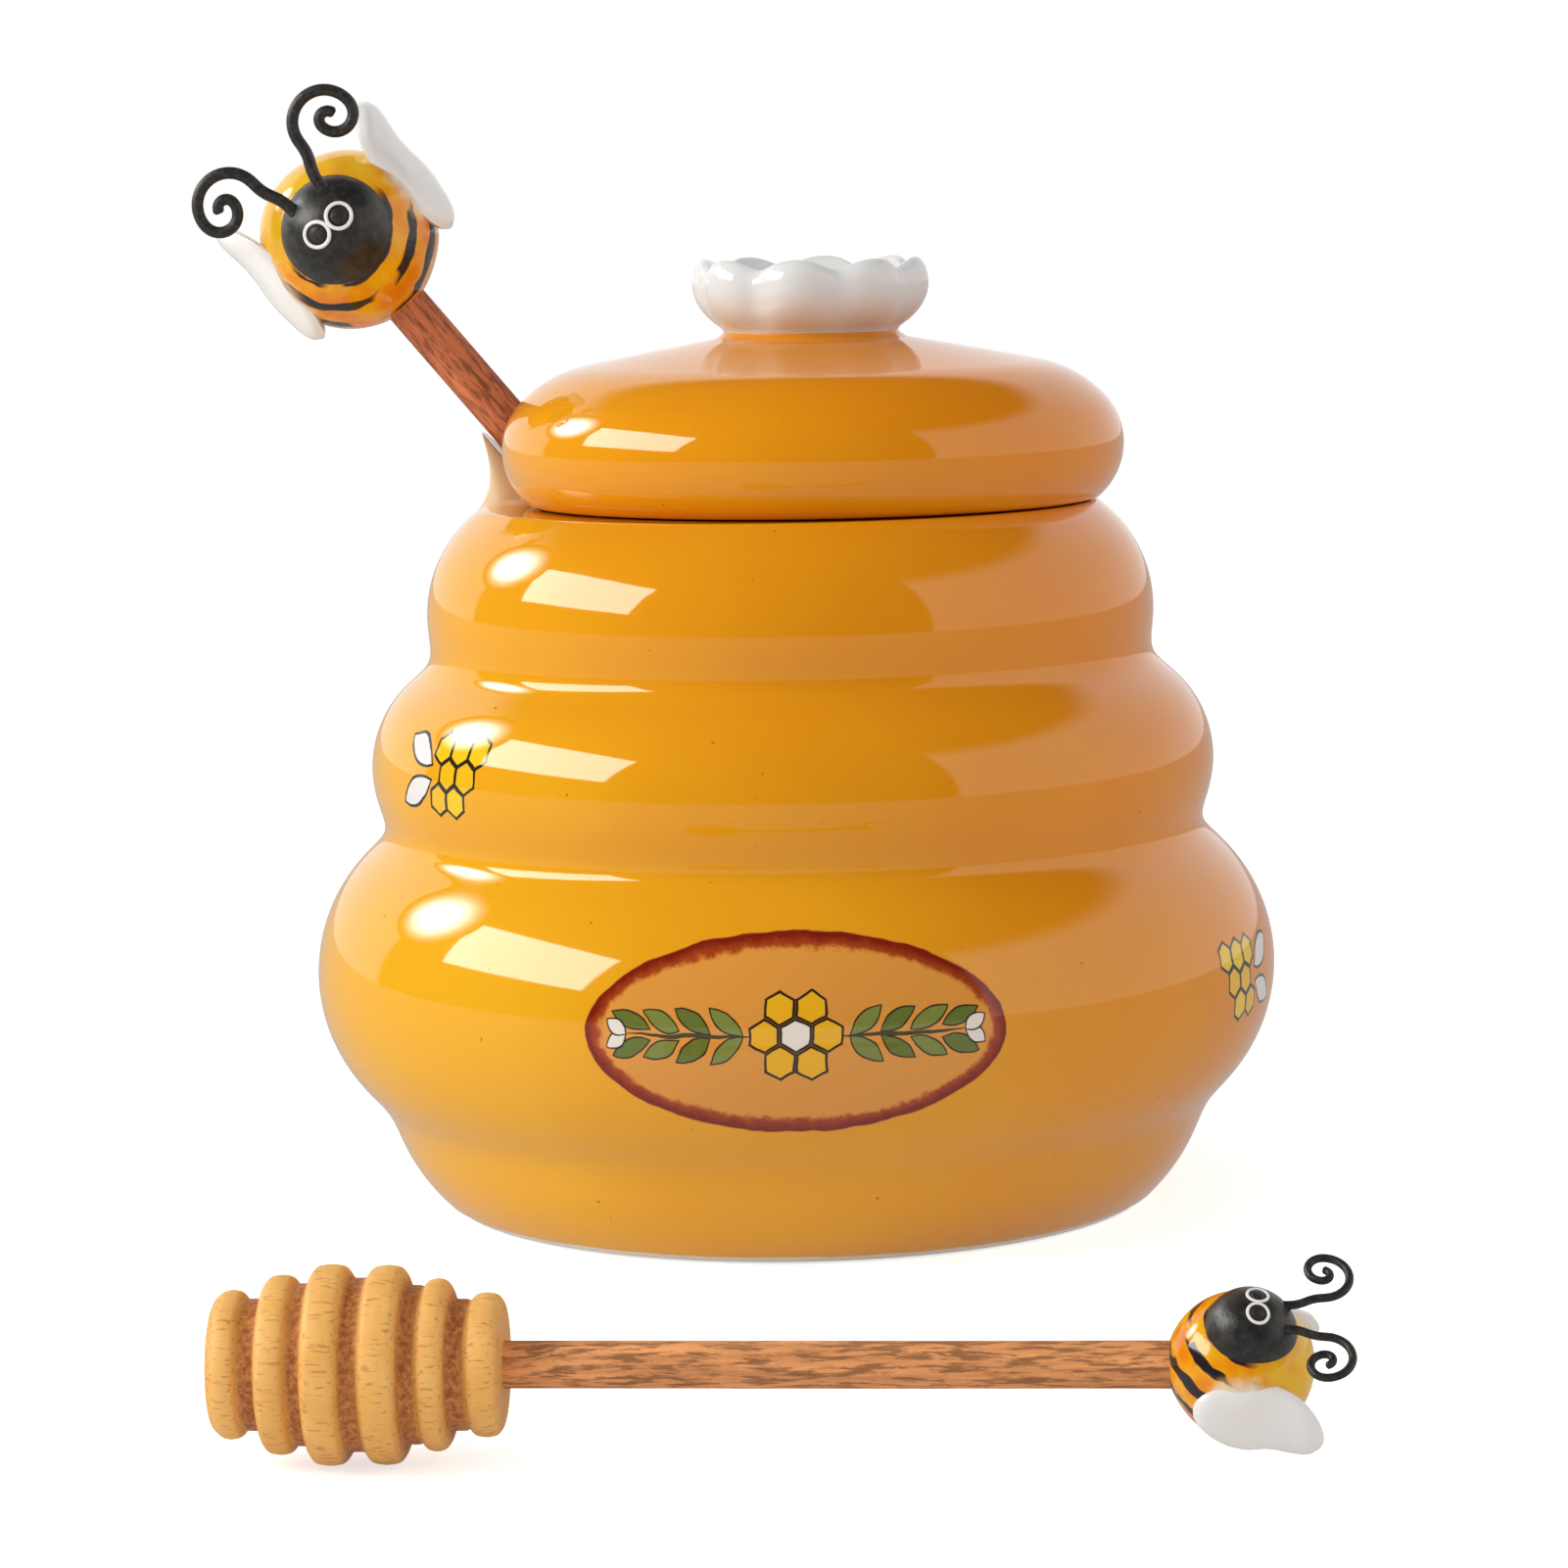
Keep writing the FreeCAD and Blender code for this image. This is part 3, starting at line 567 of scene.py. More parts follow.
def knob_material():
    """White glaze, with honey glaze drawn up round the neck and a warm shade painted low on the petals."""
    paint = Paint("petal_glaze", IOR=1.5)
    colour = paint.mix(paint.noise(120.0, 3.0), *PETAL_WHITE)
    height = paint.math("DIVIDE", paint.split(paint.where)[2], MM)
    edge = paint.plus(height, paint.times(paint.noise(160.0, 2.0), -1.4))
    drawn_up = paint.ramp(edge, LID_BASE + LID_TOP + 0.2, LID_BASE + LID_TOP - 0.5)
    colour = paint.mix(drawn_up, colour, (0.70, 0.26, 0.012))
    # Painted shade: the petals are painted darker and warmer over their lowest 6 mm, where the lid's colour
    # bounces onto them.
    painted_lid_shade = paint.ramp(height, LID_BASE + LID_TOP + 6.0, LID_BASE + LID_TOP)
    colour = paint.mix(paint.times(painted_lid_shade, 0.20), colour, (0.62, 0.42, 0.28))
    paint.set(Base_Color=colour, Roughness=0.10, Normal=paint.bump(paint.noise(200.0, 2.0), 0.00006, 0.3))
    return paint.material


def head_wood():
    """Turned beech: fine fibres along the axis, darker and rougher in the grooves."""
    paint = Paint("turned_beech")
    fibre = paint.noise(2400.0, 4.0, 0.6, stretch=(1.0, 1.0, 0.10))
    flecks = paint.ramp(paint.noise(2700.0, 2.0, 0.5, stretch=(1.0, 1.0, 0.15)), 0.57, 0.68)
    broad = paint.noise(160.0, 2.0)
    colour = paint.mix(paint.ramp(broad, 0.3, 0.7), *BEECH)
    fibres = paint.times(paint.ramp(fibre, 0.40, 0.75), 0.45)
    colour = paint.mix(fibres, colour, (0.90, 0.52, 0.170))
    colour = paint.mix(paint.times(flecks, 0.50), colour, (0.40, 0.130, 0.020))
    fuzz = paint.noise(1500.0, 3.0, 0.7)
    groove = paint.node("Attribute", attribute_name="groove")["Fac"]
    dark = paint.mix(paint.ramp(fuzz, 0.35, 0.68), *GROOVE_BROWN)
    colour = paint.mix(groove, colour, dark)
    rough = paint.bump(paint.plus(paint.times(fibre, 0.6), fuzz), 0.00012, 0.5)
    paint.set(Base_Color=colour, Roughness=0.55, Normal=rough)
    return paint.material


def stick_wood(name, tone):
    """Open-grained dowel with long wavy dark pores."""
    paint = Paint(name)
    drift = paint.noise(90.0, 2.0, stretch=(1.0, 1.0, 0.5))
    shift = paint.join(paint.times(drift, 0.003), paint.times(drift, -0.003))
    bent = paint.vector("ADD", paint.where, shift)
    pores = paint.noise(1700.0, 4.0, 0.65, where=bent, stretch=(1.0, 1.0, 0.12))
    wide = paint.noise(800.0, 3.0, 0.6, where=bent, stretch=(1.0, 1.0, 0.08))
    pale = tuple(min(1.0, c * 1.45 + 0.01) for c in tone)
    deep = tuple(c * 0.42 for c in tone)
    colour = paint.mix(paint.ramp(wide, 0.3, 0.7), tone, pale)
    crack = paint.times(paint.ramp(pores, 0.54, 0.40), 0.90)
    colour = paint.mix(crack, colour, deep)
    paint.set(Base_Color=colour, Roughness=0.62, Normal=paint.bump(pores, 0.0006, 0.8))
    return paint.material


def bee_material():
    """Yellow and orange glaze with dark brushed rings round the face and white where the wings join."""
    paint = Paint("bee_glaze", IOR=1.55, Roughness=0.10)
    way = paint.vector("NORMALIZE", paint.where)
    x, _, z = paint.split(way)
    swirl = paint.noise(2.6, 3.0, where=way)
    facing = paint.vector("DOT_PRODUCT", way, (0.0, -0.981, 0.194))
    angle = paint.math("ARCCOSINE", facing)
    angle = paint.plus(angle, paint.times(paint.minus(swirl, 0.5), 0.10))
    colour = paint.mix(paint.ramp(swirl, 0.35, 0.65), *BEE_ORANGE)
    glow = paint.ramp(z, -0.1, 0.9)
    colour = paint.mix(paint.times(glow, 0.6), colour, BEE_YELLOW)
    flank = paint.plus(paint.math("ABSOLUTE", x), paint.times(swirl, 0.25))
    side = paint.ramp(flank, 0.86, 1.06)
    colour = paint.mix(side, colour, (0.82, 0.79, 0.70))
    under = paint.ramp(z, 0.30, 0.00)
    for middle, half in BEE_STRIPES:
        off = paint.math("ABSOLUTE", paint.minus(angle, middle))
        width = paint.times(paint.noise(3.2, 1.0, where=way), half * 2)
        line = paint.ramp(paint.minus(off, width), 0.012, -0.012)
        shifted = paint.vector("ADD", way, (3 * middle, 0, 0))
        gaps = paint.ramp(paint.noise(1.9, 1.0, where=shifted), 0.36, 0.44)
        line = paint.times(paint.times(line, under), gaps)
        line = paint.times(line, paint.minus(1.0, side))
        colour = paint.mix(line, colour, BEE_BLACK)
    paint.set(Base_Color=colour, Normal=paint.bump(swirl, 0.0004, 0.25))
    return paint.material


def black_paint(name, roughness, grain):
    paint = Paint(name)
    speck = paint.noise(grain, 4.0, 0.65)
    colour = paint.mix(paint.ramp(speck, 0.35, 0.75), *BLACK)
    rub = paint.ramp(paint.noise(grain * 2.2, 2.0), 0.70, 0.78)
    colour = paint.mix(paint.times(rub, 0.35), colour, (0.16, 0.14, 0.12))
    paint.set(Base_Color=colour, Roughness=roughness, Normal=paint.bump(speck, 0.00015, 0.5))
    return paint.material


MATERIALS = {
    "pot": pot_material(),
    "lid": lid_material(),
    "knob": knob_material(),
    "head": head_wood(),
    "bee": bee_material(),
    "wing": white_glaze("wing_glaze", (0.84, 0.78, 0.60), 0.35),
    "eye": white_glaze("eye_white", (0.80, 0.77, 0.70), 0.3),
    "face": black_paint("face_black", 0.36, 700.0),
    "pupil": black_paint("pupil_black", 0.5, 1800.0),
    "wire": black_paint("wire_black", 0.45, 1500.0),
}


def stick_line(along, away, side):
    """Spots beside the standing stick: along it from the rim's level, away below it, and to its side."""
    lean = math.radians(LEAN)
    ahead = np.array([-math.sin(lean), 0, math.cos(lean)])
    below = np.array([-math.cos(lean), 0, -math.sin(lean)])
    curl = LIP_CURL * np.maximum(side, 0)
    depth = np.sqrt(np.maximum(away ** 2 - curl ** 2, 0.2 * away ** 2))
    middle = np.array(CROSSING) + along * ahead
    return middle + depth[:, None] * below + side[:, None] * np.array([0, 1, 0])


def clear_of_stick(points):
    """Presses spots in the stick's way down to the lower half of its bore, which stays open above."""
    lean = math.radians(LEAN)
    above = np.array([math.cos(lean), 0, math.sin(lean)])
    off = points - np.array(CROSSING)
    level = off @ above
    floor = -np.sqrt(np.maximum(BORE ** 2 - off[:, 1] ** 2, 0))
    short = (np.abs(off[:, 1]) < BORE) & (level > floor) & (level < BORE) & (points[:, 0] < 0)
    short &= points[:, 2] > RIM[1] - 2 * THROAT
    return points + np.where(short, floor - level, 0)[:, None] * above


def pot_outline():
    line = np.concatenate([
        arc(FOOT, HEEL, LOW_GROOVE),
        arc(LOW_GROOVE, BELLY, MID_GROOVE),
        arc(MID_GROOVE, WAIST, HIGH_GROOVE),
        arc(HIGH_GROOVE, SHOULDER, RIM),
    ])
    return soften(line, GROOVE_SOFTNESS)


def pot_inside():
    def inner(spot):
        return (spot[0] - WALL, spot[1])

    throat = (MOUTH_RADIUS, RIM[1] - THROAT)
    line = np.concatenate([
        [(MOUTH_RADIUS, RIM[1] - 1.0)],
        [throat],
        arc(throat, (SHOULDER[0] - WALL, SHOULDER[1] - WALL), inner(HIGH_GROOVE)),
        arc(inner(HIGH_GROOVE), inner(WAIST), inner(MID_GROOVE)),
        arc(inner(MID_GROOVE), inner(BELLY), inner(LOW_GROOVE)),
        [(FOOT[0] - WALL, FLOOR_THICK)],
        [(0.0, FLOOR_THICK)],
    ])
    return soften(line, 1.4, 1.3)


def smoothed_lip(rim):
    """Rows of the rim with the creases round the lip worn away; the first and last rows stay."""
    near = smoothstep(30, 22, np.abs(rim[0, :, 1] - BACK)) * (rim[0, :, 0] < 0)
    fade = smoothstep(0, 8, np.arange(len(rim))) * smoothstep(0, 8, np.arange(len(rim))[::-1])
    share = 0.5 * fade[:, None, None] * near[None, :, None]
    for _ in range(LIP_SMOOTHING):
        around = (np.roll(rim, 1, 1) + np.roll(rim, -1, 1)) / 2
        across = rim.copy()
        across[1:-1] = (rim[2:] + rim[:-2]) / 2
        rim = rim + share * ((around + across) / 2 - rim)
    return list(rim)


def make_pot():
    lip_turn = math.atan2(BACK, -math.sqrt(RIM[0] ** 2 - BACK ** 2))
    close = np.linspace(*LIP_SECTOR, LIP_COLUMNS, endpoint=False)
    wide = np.linspace(LIP_SECTOR[1], LIP_SECTOR[0] + 2 * math.pi, PLAIN_COLUMNS, endpoint=False)
    angles = lip_turn + np.concatenate([close, wide])

    outline = pot_outline()
    body = outline[(outline[:, 1] > 1.0) & (outline[:, 1] < LIP_START)]
    rows = turned_rows(FOOT_ROWS, angles) + turned_rows(body[::2], angles)

    # Rim rows hold a place on the plain rim and one on the lip, and change over beside the stick.
    shoulder = resample(outline[outline[:, 1] >= LIP_START], 0.2)
    slope = soften(LIP_SLOPE, 1.1, 0.05)
    inside = resample(LIP_INSIDE, 0.5)
    outer_spots = shoulder[np.linspace(0, len(shoulder) - 1, RIM_ROWS).astype(int)]
    outer_lip = slope[np.linspace(0, len(slope) - 1, RIM_ROWS).astype(int)]
    outer_share = smoothstep(0, 0.45 * RIM_ROWS, np.arange(RIM_ROWS))
    inner_spots = np.linspace((RIM[0] - 0.7, RIM[1] + 0.02), (39.75, RIM[1]), len(inside))
    spreads = np.linspace(LIP_FOOT_SPREAD, LIP_TOP_SPREAD, RIM_ROWS)
    plan = list(zip(outer_spots, outer_lip, outer_share, spreads))
    plan += [(spot, lip, 1.0, LIP_TOP_SPREAD) for spot, lip in zip(inner_spots, inside)]
    rim = []
    for (radius, height), (along, away), share, spread in plan:
        plain = ring_of(radius, angles, height)
        side = plain[:, 1] - BACK
        reach = np.where(side < 0, LIP_AHEAD * spread, spread)
        weight = share * smoothstep(reach, LIP_FLAT, np.abs(side)) * (plain[:, 0] < 0)
        lip = stick_line(along, away, side * LIP_NARROWING)
        rim.append(plain + weight[:, None] * (lip - plain))
    ledge = [(radius, RIM[1]) for radius in np.linspace(39.3, MOUTH_RADIUS + 0.6, 14)]
    rows += smoothed_lip(np.array(rim + turned_rows(ledge, angles)))
    mouth = [(MOUTH_RADIUS + 0.2, RIM[1] - 0.25), *pot_inside()[:-1], (0.0, FLOOR_THICK)]
    rows += turned_rows(mouth, angles)
    rows = [clear_of_stick(np.asarray(row, float).reshape(-1, 3)) for row in rows]
    pot = skin("glazed_pot", rows)
    finish_piece(pot, MATERIALS["pot"], "pot", "pot_body")


def make_lid():
    outside = soften(np.concatenate([
        arc(LID_BOTTOM, LID_SIDE, LID_EDGE),
        arc(LID_EDGE, LID_BROW, LID_CROWN),
        arc(LID_CROWN, LID_SLOPE, (NECK + 1.2, LID_TOP - 0.15)),
        [(NECK + 0.55, LID_TOP + 0.1), (NECK + 0.3, LID_TOP + 0.7), (NECK - 0.2, LID_TOP + 0.95)],
    ]), 0.55)
    inner = SKIRT_RADIUS - SKIRT_WALL
    ceiling = LID_TOP - LID_WALL
    under = soften(np.concatenate([
        arc((NECK, ceiling), (LID_SLOPE[0], LID_SLOPE[1] - LID_WALL), (inner, LID_EDGE[1] - LID_WALL)),
        [(inner, -SKIRT_DEPTH + 0.8), (inner + 0.8, -SKIRT_DEPTH), (SKIRT_RADIUS - 0.8, -SKIRT_DEPTH)],
        [(SKIRT_RADIUS, -SKIRT_DEPTH + 0.8), (SKIRT_RADIUS, 0), (LID_BOTTOM[0] - 0.9, 0)],
    ]), 0.35, 0.5)
    profile = [(0, ceiling), *under[1:], *outside[1:], (0, LID_TOP + 0.9)]
    place = Matrix.Translation(Vector((LID_SHIFT, 0, LID_BASE)) * MM)
    lid = skin("glazed_lid", turned_rows(profile, circle(288)), place)

    # Notch round the stick, open to the outside.
    bend = np.linspace(-math.pi / 2, math.pi / 2, 33)
    outline = [(NOTCH * math.cos(turn), NOTCH * math.sin(turn)) for turn in bend]
    outline = [(-2 * LID_SIDE[0], -NOTCH), *outline, (-2 * LID_SIDE[0], NOTCH)]
    sides = [[(x, y, z) for x, y in outline] for z in NOTCH_SPAN]
    ends = [[(-NOTCH, 0, z)] for z in NOTCH_SPAN]
    cutter_place = Matrix.Translation(Vector(CROSSING) * MM) @ Matrix.Rotation(-math.radians(LEAN), 4, "Y")
    cutter = skin("notch_cutter", [ends[0], *sides, ends[1]], cutter_place)
    bpy.context.view_layer.update()
    cutting = lid.modifiers.new("notch", "BOOLEAN")
    cutting.operation = "DIFFERENCE"
    cutting.solver = "EXACT"
    cutting.object = cutter
    shape = bpy.data.meshes.new_from_object(lid.evaluated_get(bpy.context.evaluated_depsgraph_get()))
    lid.modifiers.clear()
    lid.data = shape
    lid.data.name = "glazed_lid"
    bpy.data.objects.remove(cutter)
    mark_spots(shape)
    soft_faces(shape, 35)
    finish_piece(lid, MATERIALS["lid"], "lid", "lid_shell")


def petal_wave(angles):
    """1 at the middle of each petal, 0 in the creases, with the creases a little filled."""
    fine = circle(1440)
    period = 2 * math.pi / PETALS
    off = (fine - math.radians(FRONT_PETAL) + period / 2) % period - period / 2
    reach = PETAL_RING * np.cos(off) + np.sqrt(PETAL_RADIUS ** 2 - (PETAL_RING * np.sin(off)) ** 2)
    kernel = np.exp(-0.5 * (np.arange(-40, 41) * 0.25 / 4.2) ** 2)
    reach = np.convolve(np.concatenate([reach[-40:], reach, reach[:40]]), kernel / kernel.sum(), "valid")
    wave = (reach - reach.min()) / (reach.max() - reach.min())
    return np.interp(angles % (2 * math.pi), fine, wave, period=2 * math.pi)


def make_knob():
    # Radius, height, share of the crease in the radius, drop of the crease in height.
    plan = [
        (11.5, 0.15, 0.0, 0.0), (11.7, 0.5, 0.0, 0.0), (11.75, 0.9, 0.0, 0.0), (12.2, 1.35, 0.1, 0.0),
        (13.3, 2.1, 0.35, 0.0), (14.4, 3.1, 0.6, 0.0), (15.3, 4.3, 0.8, 0.0), (15.9, 5.7, 0.95, 0.0),
        (16.1, 7.1, 1.0, 0.2), (16.0, 8.4, 1.0, 0.6), (15.65, 9.5, 0.95, 1.0), (15.1, 10.3, 0.85, 1.3),
        (14.5, 10.7, 0.75, 1.4), (13.9, 10.65, 0.65, 1.35), (13.3, 10.1, 0.5, 1.1), (12.4, 9.0, 0.4, 0.7),
        (11.0, 7.4, 0.3, 0.3), (9.2, 5.9, 0.15, 0.0), (6.8, 4.5, 0.0, 0.0), (3.6, 3.6, 0.0, 0.0),
    ]
    angles = circle(256)
    low = 1 - petal_wave(angles)
    smooth = soften(plan, 0.45, 0.25)
    rows = [[(0, 0, smooth[0][1])]]
    for radius, height, share, drop in smooth:
        rows.append(ring_of(radius - PETAL_CREASE * share * low, angles, height - drop * low))
    rows.append([(0, 0, 3.4)])
    base = np.array([LID_SHIFT, 0, LID_BASE + LID_TOP])
    knob = skin("flower", [np.asarray(row, float) + base for row in rows])
    finish_piece(knob, MATERIALS["knob"], "lid", "flower_knob")


# Rings of a dipper's head: start and end along it, and radius, with the groove that follows.
HEAD_RINGS = (
    (0.0, 3.7, 8.25), (5.55, 9.3, 9.9), (10.75, 15.1, 11.05),
    (17.0, 21.3, 10.95), (23.05, 26.3, 9.5), (28.2, 32.0, 7.95),
)
HEAD_GROOVES = (7.25, 8.9, 9.5, 8.7, 7.2)


def make_head(prefix, facts, place):
    scale = facts["head_scale"]
    line = [(0, 0), (HEAD_RINGS[0][2] - 1.5, 0)]
    depth = [0, 0]
    for count, (start, end, radius) in enumerate(HEAD_RINGS):
        shift = 0.25 if count else 0.6
        line += [(radius - 1.1, start + 0.05), (radius - 0.22, start + shift + 0.4)]
        line += [(radius - 0.02, (start + end) / 2)]
        line += [(radius - 0.22, end - 0.7), (radius - 1.1, end - 0.1)]
        depth += [0.35, 0, 0, 0, 0.35]
        if count < len(HEAD_GROOVES):
            floor = HEAD_GROOVES[count]
            following = HEAD_RINGS[count + 1][0]
            line += [(floor, end + 0.1), (floor, following - 0.1)]
            depth += [1, 1]
    line += [(facts["stick"] / scale, HEAD_RINGS[-1][1]), (0, HEAD_RINGS[-1][1])]
    depth += [0.3, 0.3]
    smooth = soften([(r, z, d) for (r, z), d in zip(line, depth)], 0.32, 0.16)
    size = np.array([scale, facts["head_length"] / HEAD_RINGS[-1][1]])
    profile = smooth[1:-1, :2] * size
    angles = circle(144)
    rows = turned_rows([(0, 0), *profile, (0, facts["head_length"])], angles)
    head = skin(f"{prefix}turned_head", rows, place)
    shade = [0.0] + [float(np.clip(value, 0, 1)) for value in smooth[1:-1, 2] for _ in angles] + [0.3]
    head.data.attributes.new("groove", "FLOAT", "POINT").data.foreach_set("value", shade)
    finish_piece(head, MATERIALS["head"], facts["body"], f"{prefix}dipper_head")


def make_stick(prefix, facts, place):
    start = facts["head_length"] - facts["socket"]
    end = facts["reach"] - BEE_RADIUS * facts["bee_scale"] + facts["bee_socket"]
    draws = np.random.default_rng(7)
    angles = circle(48)
    flutes = draws.normal(0, 1, len(angles))
    flutes = sum(np.roll(flutes, k) for k in (-1, 0, 1)) / 3
    rows = [[(0, 0, start)]]
    for along in np.linspace(start, end, 90):
        radius = facts["stick"] - 0.05 + 0.025 * flutes * np.cos(along / 9 + np.cos(angles) * 2)
        rows.append(ring_of(radius, angles, along))
    rows.append([(0, 0, end)])
    stick = skin(f"{prefix}dowel", rows, place)
    wood = stick_wood(f"{prefix}dowel_wood", facts["wood"])
    finish_piece(stick, wood, facts["body"], f"{prefix}dipper_stick")


def ball_rows(radius, squash, count=72, lump=None):
    """Rings of a sphere round +Z, flattened along Y, with a slight hand-made unevenness."""
    rows = []
    for polar in np.linspace(0, math.pi, count):
        angles = circle(count * 2)
        if polar in (0, math.pi):
            angles = angles[:1]
        way = np.stack([math.sin(polar) * np.cos(angles), math.sin(polar) * np.sin(angles),
                        np.full(len(angles), -math.cos(polar))], 1)
        swell = 1 + (lump(way) if lump else 0)
        rows.append(way * radius * np.reshape(swell, (-1, 1)) * np.array([1, squash, 1]))
    return rows


def make_bee(prefix, facts, place):
    scale = facts["bee_scale"]
    bee_place = place @ Matrix.Translation((0, 0, facts["reach"] * MM))
    bee_place = bee_place @ Matrix.Rotation(math.radians(facts["roll"]), 4, "Z")

    def lump(way):
        return 0.012 * np.sin(way @ np.array([3.1, 2.3, 4.2])) - 0.012

    body_rows = [row * scale for row in ball_rows(BEE_RADIUS, 0.97, 72, lump)]
    body = skin(f"{prefix}bee_round", body_rows, bee_place)
    finish_piece(body, MATERIALS["bee"], facts["body"], f"{prefix}bee_body")

    centre = np.array([0, -facts["face"], FACE_RISE])
    face_rows = [(row + centre) * scale for row in ball_rows(FACE_RADIUS, 1.0, 56)]
    face = skin(f"{prefix}bee_face", face_rows, bee_place)
    finish_piece(face, MATERIALS["face"], facts["body"], f"{prefix}bee_head")
    make_eyes(prefix, facts, bee_place, centre, scale)
    for side, sign in (("right", 1), ("left", -1)):
        make_wing(prefix, facts, bee_place, side, sign, scale)
        make_antenna(prefix, facts, bee_place, side, sign, scale, centre)


def tube_rows(path, radii, lift, flat=1.0, around=14, closed=False):
    """Rings round a path; lift gives each ring's own up direction."""
    if closed:
        ahead = np.roll(path, -1, 0) - np.roll(path, 1, 0)
    else:
        ahead = np.gradient(path, axis=0)
    ahead /= np.linalg.norm(ahead, axis=1)[:, None]
    rows = []
    for spot, way, up, radius in zip(path, ahead, lift, radii):
        across = np.cross(way, up)
        across /= np.linalg.norm(across)
        over = np.cross(across, way)
        angles = circle(around)[:, None]
        rows.append(spot + radius * (np.cos(angles) * across + flat * np.sin(angles) * over))
    return rows


def face_circle(middle, radius, height, count):
    """A circle of spots on the front of a bee's head, raised by height."""
    turn = circle(count)
    x = middle[0] + radius * np.cos(turn)
    z = middle[1] + radius * np.sin(turn)
    return np.stack([x, -np.sqrt((EYE_BASE + height) ** 2 - x ** 2 - z ** 2), z], -1)


def make_eyes(prefix, facts, place, centre, scale):
    rings = []
    domes = []
    for sign in (1, -1):
        middle = (sign * EYE_AT[0], EYE_AT[1])
        path = face_circle(middle, EYE_RING, 0.12, 64)
        lift = path / np.linalg.norm(path, axis=1)[:, None]
        rows = tube_rows(path, np.full(len(path), EYE_WIRE), lift, 0.75, 10, True)
        rings.append(rows + [rows[0]])
        dome = [face_circle(middle, 0, PUPIL_SINK, 1), face_circle(middle, PUPIL, PUPIL_SINK, 40)]
        for share in np.linspace(1, 0.06, 12):
            height = PUPIL_HEIGHT * math.sqrt(1 - share ** 2.6)
            dome.append(face_circle(middle, PUPIL * share, height, 40))
        domes.append(dome + [face_circle(middle, 0, PUPIL_HEIGHT + 0.01, 1)])
    for name, groups, material, node, slot in (("eye_ring_pair", rings, "eye", "eye_rims", "white_glaze"),
                                               ("pupil_pair", domes, "pupil", "pupils", "black_glaze")):
        points = []
        faces = []
        for rows in groups:
            part = skin("part", [(row + centre) * scale for row in rows])
            offset = len(points)
            points += [v.co.copy() for v in part.data.vertices]
            faces += [tuple(offset + index for index in face.vertices) for face in part.data.polygons]
            bpy.data.objects.remove(part)
        pair = solid(f"{prefix}{name}", points, faces, place, 60)
        weld(pair)
        finish_piece(pair, MATERIALS[material], facts["body"], f"{prefix}{node}")


def weld(piece):
    """Joins points that lie together and turns the faces outwards."""
    shape = bmesh.new()
    shape.from_mesh(piece.data)
    bmesh.ops.remove_doubles(shape, verts=shape.verts, dist=1e-7)
    bmesh.ops.recalc_face_normals(shape, faces=shape.faces)
    shape.to_mesh(piece.data)
    shape.free()


# Wings wrap the bee's sides: where they start, how far they sweep back from start to end, and their outline.
WING_INNER = (7.3, -9.0)
WING_SWEEP = (50.0, 88.0)
WING_WIDTH = 17.0
WING_THICK = 1.7
WING_MIDDLE = (10.2, 2.4)
WING = ((4.2, -3.4), (3.4, 1.0), (4.0, 5.4), (6.2, 9.6), (9.8, 12.4), (13.8, 13.4), (16.6, 11.8), (17.0, 8.0),
        (16.2, 4.2), (16.0, 0.2), (14.2, -4.0), (10.8, -7.4), (7.6, -8.0), (5.4, -6.4))


def make_wing(prefix, facts, place, side, sign, scale):
    corners = np.array(WING)
    count = 120
    spots = np.linspace(0, len(corners), count, endpoint=False)
    outline = []
    for spot in spots:
        k = int(spot)
        t = spot - k
        a, b, c, d = (corners[(k + step) % len(corners)] for step in (-1, 0, 1, 2))
        outline.append(0.5 * (2 * b + (c - a) * t + (2 * a - 5 * b + 4 * c - d) * t ** 2
                              + (3 * b - a - 3 * c + d) * t ** 3))
    outline = np.array(outline)
    middle = np.array(WING_MIDDLE)
    tuck = facts["far_wing"] if sign < 0 else 0.0
    steps = np.linspace(-2.0, WING_WIDTH + 1.0, 200)
    turns = np.radians(np.interp(steps, (0, WING_WIDTH), WING_SWEEP))
    gains = np.stack([np.cos(turns), np.sin(turns)], 1) * (steps[1] - steps[0])
    spine = np.cumsum(gains, 0)
    spine += np.array(WING_INNER) - spine[np.argmin(np.abs(steps))]
    rows = []
    for face in (1, -1):
        shares = np.linspace(0.04, 1, 18) if face > 0 else np.linspace(1, 0.04, 18)[1:]
        for share in shares:
            flat = middle + share * (outline - middle)
            thick = WING_THICK * math.sqrt(max(0.0, 1 - share ** 3.2))
            wave = 1 + 0.16 * np.sin(flat[:, 1] * 0.62 + 0.5) * share
            height = face * thick * wave + 0.35 * np.sin(flat[:, 1] * 0.35)
            turn = np.interp(flat[:, 0], steps, turns)
            across = np.interp(flat[:, 0], steps, spine[:, 0]) - height * np.sin(turn)
            back = np.interp(flat[:, 0], steps, spine[:, 1]) + height * np.cos(turn) + tuck
            rows.append(kept_in_box(np.stack([sign * across, back, flat[:, 1]], 1) * scale, place))
    rows = [[rows[0].mean(0)]] + rows + [[rows[-1].mean(0)]]
    if sign < 0:
        rows = [np.asarray(row)[::-1] for row in rows]
    wing = skin(f"{prefix}paddle_{side}", rows, place)
    weld(wing)
    finish_piece(wing, MATERIALS["wing"], facts["body"], f"{prefix}bee_wing_{side}")


